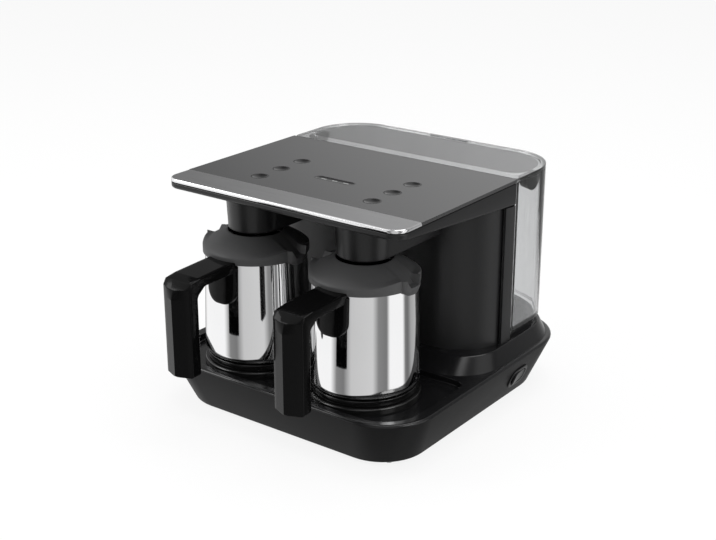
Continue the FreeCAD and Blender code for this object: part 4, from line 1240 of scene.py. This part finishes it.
def collar_columns(radius):
    """Bearings of the columns at a radius. Inside a lip they follow straight lines along x, so
    that its walls stay straight, and between the lips they are spread evenly."""
    floor = np.linspace(-6 * mm, 6 * mm, 7)
    inside = np.linspace(lip_half - lip_wall, lip_half - lip_wall + 0.3 * mm, 2)
    outside = np.linspace(lip_half - 0.5 * mm, lip_half, 3)
    stations = np.concatenate([-outside[::-1], -inside[::-1], floor, inside, outside])
    lip = np.arcsin(np.clip(stations / radius, -1, 1))
    between = np.linspace(lip[-1], math.pi - lip[-1], 50)[1:-1]
    no_lip = np.full(len(between), np.nan)
    bearing = np.concatenate([lip, between, lip + math.pi, between + math.pi])
    return bearing, np.concatenate([stations, no_lip, stations, no_lip])


def dome_level(radius, rim, top):
    """Height of the domed ring: from its shoulder at the rim up to the mouth, bulging a little."""
    outer = pot_rim_radius + collar_grip
    share = np.clip((outer - radius) / (outer - mouth_radius), 0, 1)
    return rim + collar_shoulder + (top - rim - collar_shoulder) * share ** dome_power


def beside_lip(bearing, radius):
    """1 at a lip's wall, falling smoothly to 0 over the dome on both its sides."""
    folded = np.arcsin(np.clip(abs(np.sin(bearing)), 0, 1))
    beyond = np.clip(folded - math.asin(lip_half / radius), 0, None)
    return np.exp(-(beyond / lip_blend) ** 2)


def collar_row(radius, rim, top, drop):
    """One ring of the collar's skin: the dome, which swells up to the lips' walls, with the
    channels cut into it. Also gives which columns are in a lip and how far from its middle."""
    bearing, station = collar_columns(radius)
    in_lip = ~np.isnan(station)
    aside = np.where(in_lip, abs(station), lip_half)
    dome = dome_level(radius, rim, top)
    reach = np.clip((radius - mouth_radius) / (pot_rim_radius - mouth_radius), 0, 1)
    channel = in_lip & (aside <= lip_half - wall_reach)
    height = dome + (max(dome, rim + lip_rise) - dome) * beside_lip(bearing, radius)
    groove = max(dome - channel_depth * reach, rim + channel_floor)
    height = np.where(channel, groove, height) - drop
    return lifted(arc(0, 0, radius, bearing), height), in_lip, aside


def build_collar(side):
    """Rows run from the underside of the skirt out, up and over the dome to the mouth, then back
    below the dome. Past the shoulder a lip's columns reach further out, with a round nose."""
    x, y = middle("pot_ring_" + side)
    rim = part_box("pot_ring_" + side)[1].z + pot_height
    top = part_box("pot_collar_" + side)[1].z
    outer = pot_rim_radius + collar_grip
    bottom = rim - collar_skirt
    foot = rim - lip_drop
    shoulder = rim + collar_shoulder
    swell = rim + lip_rise - shoulder

    def nose(radius, share_out, level, lip_level, swell=0.0):
        """A ring at a radius whose lips reach out by a share of their length. The dome between
        them swells towards the lips by a height."""
        points, in_lip, aside = collar_row(radius, rim, top, 0)
        level = level + swell * beside_lip(collar_columns(radius)[0], radius)
        blunt = np.clip(1 - (aside / lip_half) ** 4, 0, 1) ** 0.5
        far = (lip_reach - radius) * share_out * blunt
        points[:, 0] += np.where(in_lip, np.sign(points[:, 0]) * far, 0)
        points[:, 2] = np.where(in_lip, lip_level(aside), level)
        return points

    def flat(level):
        """The same level for every column of a lip."""
        return lambda aside: np.full(len(aside), level)

    def foot_level(aside):
        """The lip's underside: deepest in its middle, and level with the skirt at its walls."""
        return bottom - (bottom - foot) * np.clip(1 - (aside / lip_half) ** 2.5, 0, 1)

    def wall_level(aside):
        """The top of the lip's walls, and the channel's floor between them."""
        return np.where(aside > lip_half - wall_reach, rim + lip_rise, rim + channel_floor)

    rows = [
        nose(pot_rim_radius + collar_play, 0.0, bottom, flat(bottom)),
        nose(outer - 0.5 * mm, 0.35, bottom, foot_level),
        nose(outer, 0.62, bottom + 0.5 * mm, lambda aside: foot_level(aside) + 0.8 * mm),
        nose(outer, 0.95, rim, flat(rim - 1.5 * mm)),
        nose(outer, 1.0, shoulder - 0.5 * mm, lambda aside: wall_level(aside) - 0.6 * mm, swell),
        nose(outer - 0.15 * mm, 0.94, shoulder, wall_level, swell),
    ]
    dome = [(radius, 0) for radius in np.linspace(outer - 0.5 * mm, mouth_radius + 0.6 * mm, 16)]
    mouth = [(mouth_radius + outset, drop) for outset, drop in mouth_turn]
    under = [(radius, collar_thickness)
             for radius in np.linspace(mouth_radius + 2 * mm, pot_rim_radius - 2 * mm, 6)]
    rows += [collar_row(radius, rim, top, drop)[0] for radius, drop in dome + mouth + under]
    skin = Skin()
    first, last = skin.walls([row + np.array([x, y, 0]) for row in rows])
    skin.wall(last, first)
    collar = skin.piece("collar_" + side, collar_grey, "pot_" + side, "collar_grey", "pot_collar_" + side)
    return crisp(collar, 38)


collar_grey = moulded("collar_grey", (0.058, 0.058, 0.059), 0.5, specular=0.3)
for side in ("left", "right"):
    build_collar(side)


# Handles: a flat glossy black arm leaves the pot under its collar, turns down over a faceted
# shoulder and ends as a grip with a ridge along its front. A curved shield behind it lies on the
# steel and keeps fingers off.

handle_half = 15 * mm
arm_thickness = 10 * mm
grip_depth = 17 * mm
grip_ridge = 6.5 * mm
handle_edge = 1.1 * mm
shield_half = 16 * mm
shield_height = 40 * mm
shield_thickness = 3.6 * mm
shield_edge = 0.9 * mm
shield_drop = 4.0 * mm
shield_low_corner = 13 * mm
shield_top_corner = 1.2 * mm
# How far the arm runs in under the collar, and how deep it ends in the steel
arm_root = 30 * mm
arm_bite = 0.3 * mm


def handle_side_view(front, start, top, low):
    """The handle seen from the side, as a closed line of (y, z): along the top of the arm, over
    the shoulder's two facets, down the grip's front and back up into the arm's underside."""
    back = front + grip_depth
    arm_top = [
        (start, top - 5 * mm, 0), (start, top - 0.5 * mm, 0), (front + 20.8 * mm, top - 2.0 * mm, 6 * mm),
    ]
    shoulder = [
        (front + 9.7 * mm, top - 3.6 * mm, 1.5 * mm), (front + 2.6 * mm, top - 9.1 * mm, 3 * mm),
        (front, top - 18.2 * mm, 3 * mm),
    ]
    grip = [(front, low, 1.6 * mm), (back, low + 0.5 * mm, 1.6 * mm)]
    underneath = [
        (back, top - arm_thickness - 7 * mm, 6 * mm), (back + 9 * mm, top - arm_thickness, 6 * mm),
        (start, top - arm_thickness + 0.5 * mm, 0), (start, top - 5 * mm, 0),
    ]
    return softened(arm_top + shoulder + grip + underneath, 5)[:-1]


def drawn_in(line, distance):
    """A closed line moved inwards by a distance, along the normals at its points."""
    heading = np.roll(line, -1, axis=0) - np.roll(line, 1, axis=0)
    heading = heading / np.linalg.norm(heading, axis=1)[:, None]
    return line + np.stack([-heading[:, 1], heading[:, 0]], axis=1) * distance


def build_handle(side):
    """The side view carried across the width, drawn in round a quarter circle at each side. The
    front is cut to a ridge by a wedge, and the inner end is cut to the pot's round wall."""
    x, y = middle("pot_ring_" + side)
    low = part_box("pot_handle_" + side)[0]
    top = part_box("pot_ring_" + side)[1].z + pot_height
    front = low.y
    line = handle_side_view(front, y - arm_root, top, low.z)
    stations = [(share * handle_half, 0) for share in (0, 0.04, 0.15, 0.4, 0.7)]
    for angle in np.linspace(0, math.pi / 2, 5):
        across = handle_half - handle_edge * (1 - math.sin(angle))
        stations.append((across, handle_edge * (1 - math.cos(angle))))
    mirrored = [(-across, inset) for across, inset in stations[:0:-1]]
    rows = []
    for across, inset in mirrored + stations:
        shape = drawn_in(line, inset)
        wedge = front + grip_ridge * abs(across) / handle_half + inset
        end = y - math.sqrt((pot_rim_radius - arm_bite) ** 2 - across ** 2)
        along = np.clip(shape[:, 0], wedge, end)
        rows.append(np.column_stack([np.full(len(line), x + across), along, shape[:, 1]]))
    skin = Skin()
    skin.shut_walls(rows)
    return skin, x, y, top


def shield_loop(x, y, top, inset, out, foot):
    """The shield's outline on the pot: straight top, rounded lower corners, lying a distance off
    the steel."""
    high = top - shield_drop - inset
    low = top - shield_height + inset
    half = shield_half - inset
    low_corner = max(shield_low_corner - inset, 0.5 * mm)
    top_corner = max(shield_top_corner - inset, sharpest_corner)
    flat = outline(-half, half, low, high, low_corner, top_corner, 12)
    radius = pot_radius(flat[:, 1], foot) + out
    return np.stack([x + flat[:, 0], y - np.sqrt(radius ** 2 - flat[:, 0] ** 2), flat[:, 1]], axis=1)


def build_grip(side):
    """Handle and shield in one piece; rings on the shield's face keep it following the pot."""
    skin, x, y, top = build_handle(side)
    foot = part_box("pot_ring_" + side)[1].z
    profile = [
        (0, 0.05 * mm), (0, shield_thickness - shield_edge), (0.25 * mm, shield_thickness - 0.3 * mm),
    ]
    profile += [(inset, shield_thickness) for inset in (shield_edge, 3 * mm, 6 * mm, 9 * mm, 12 * mm)]
    skin.shut_walls([shield_loop(x, y, top, inset, out, foot) for inset, out in profile])
    handle = skin.piece("handle_" + side, handle_black, "pot_" + side, "gloss_black", "pot_handle_" + side)
    return crisp(handle, 28)


handle_black = moulded("handle_black", (0.003, 0.003, 0.0031), 0.1, grain=0.01, specular=0.1)
for side in ("left", "right"):
    build_grip(side)


# Small parts, most of them inside or underneath: feet, screws, cover, gland, pump, boards,
# tubes, nozzles, sensors, tank grips, hinge pin and valve, each in the finish of its own stuff.

rubber = moulded("foot_rubber", (0.01, 0.01, 0.01), 0.75, grain=0.1, specular=0.2)
bright_steel = brushed_metal("bright_steel", (0.6, 0.6, 0.61), 0.3, 500.0)
white_plastic = moulded("white_plastic", (0.7, 0.7, 0.68), 0.4)
silicone = moulded("silicone", (0.6, 0.6, 0.58), 0.35)
board_green = moulded("board_green", (0.02, 0.12, 0.04), 0.45)
sensor_gloss = moulded("sensor_gloss", (0.01, 0.01, 0.012), 0.1, specular=0.6)
small_parts = {
    "rubber_feet": rubber, "bottom_screws": bright_steel, "bottom_cover": shell_black,
    "mains_gland": rubber, "power_board": board_green, "switch_block": white_plastic,
    "key_board": board_green, "water_pump": white_plastic, "pump_mount": rubber,
    "inlet_socket": white_plastic, "inlet_seal": silicone, "inlet_hose": silicone,
    "lid_pin": bright_steel, "tank_grips": head_black, "tank_valve": white_plastic,
    "heating_element_left": bright_steel, "heating_element_right": bright_steel,
    "thermostat_left": bright_steel, "thermostat_right": bright_steel,
    "water_nozzle_left": bright_steel, "water_nozzle_right": bright_steel,
    "overflow_sensor_left": sensor_gloss, "overflow_sensor_right": sensor_gloss,
    "water_tube_left": silicone, "water_tube_right": silicone,
}
for node, finish in small_parts.items():
    dress(node, finish)
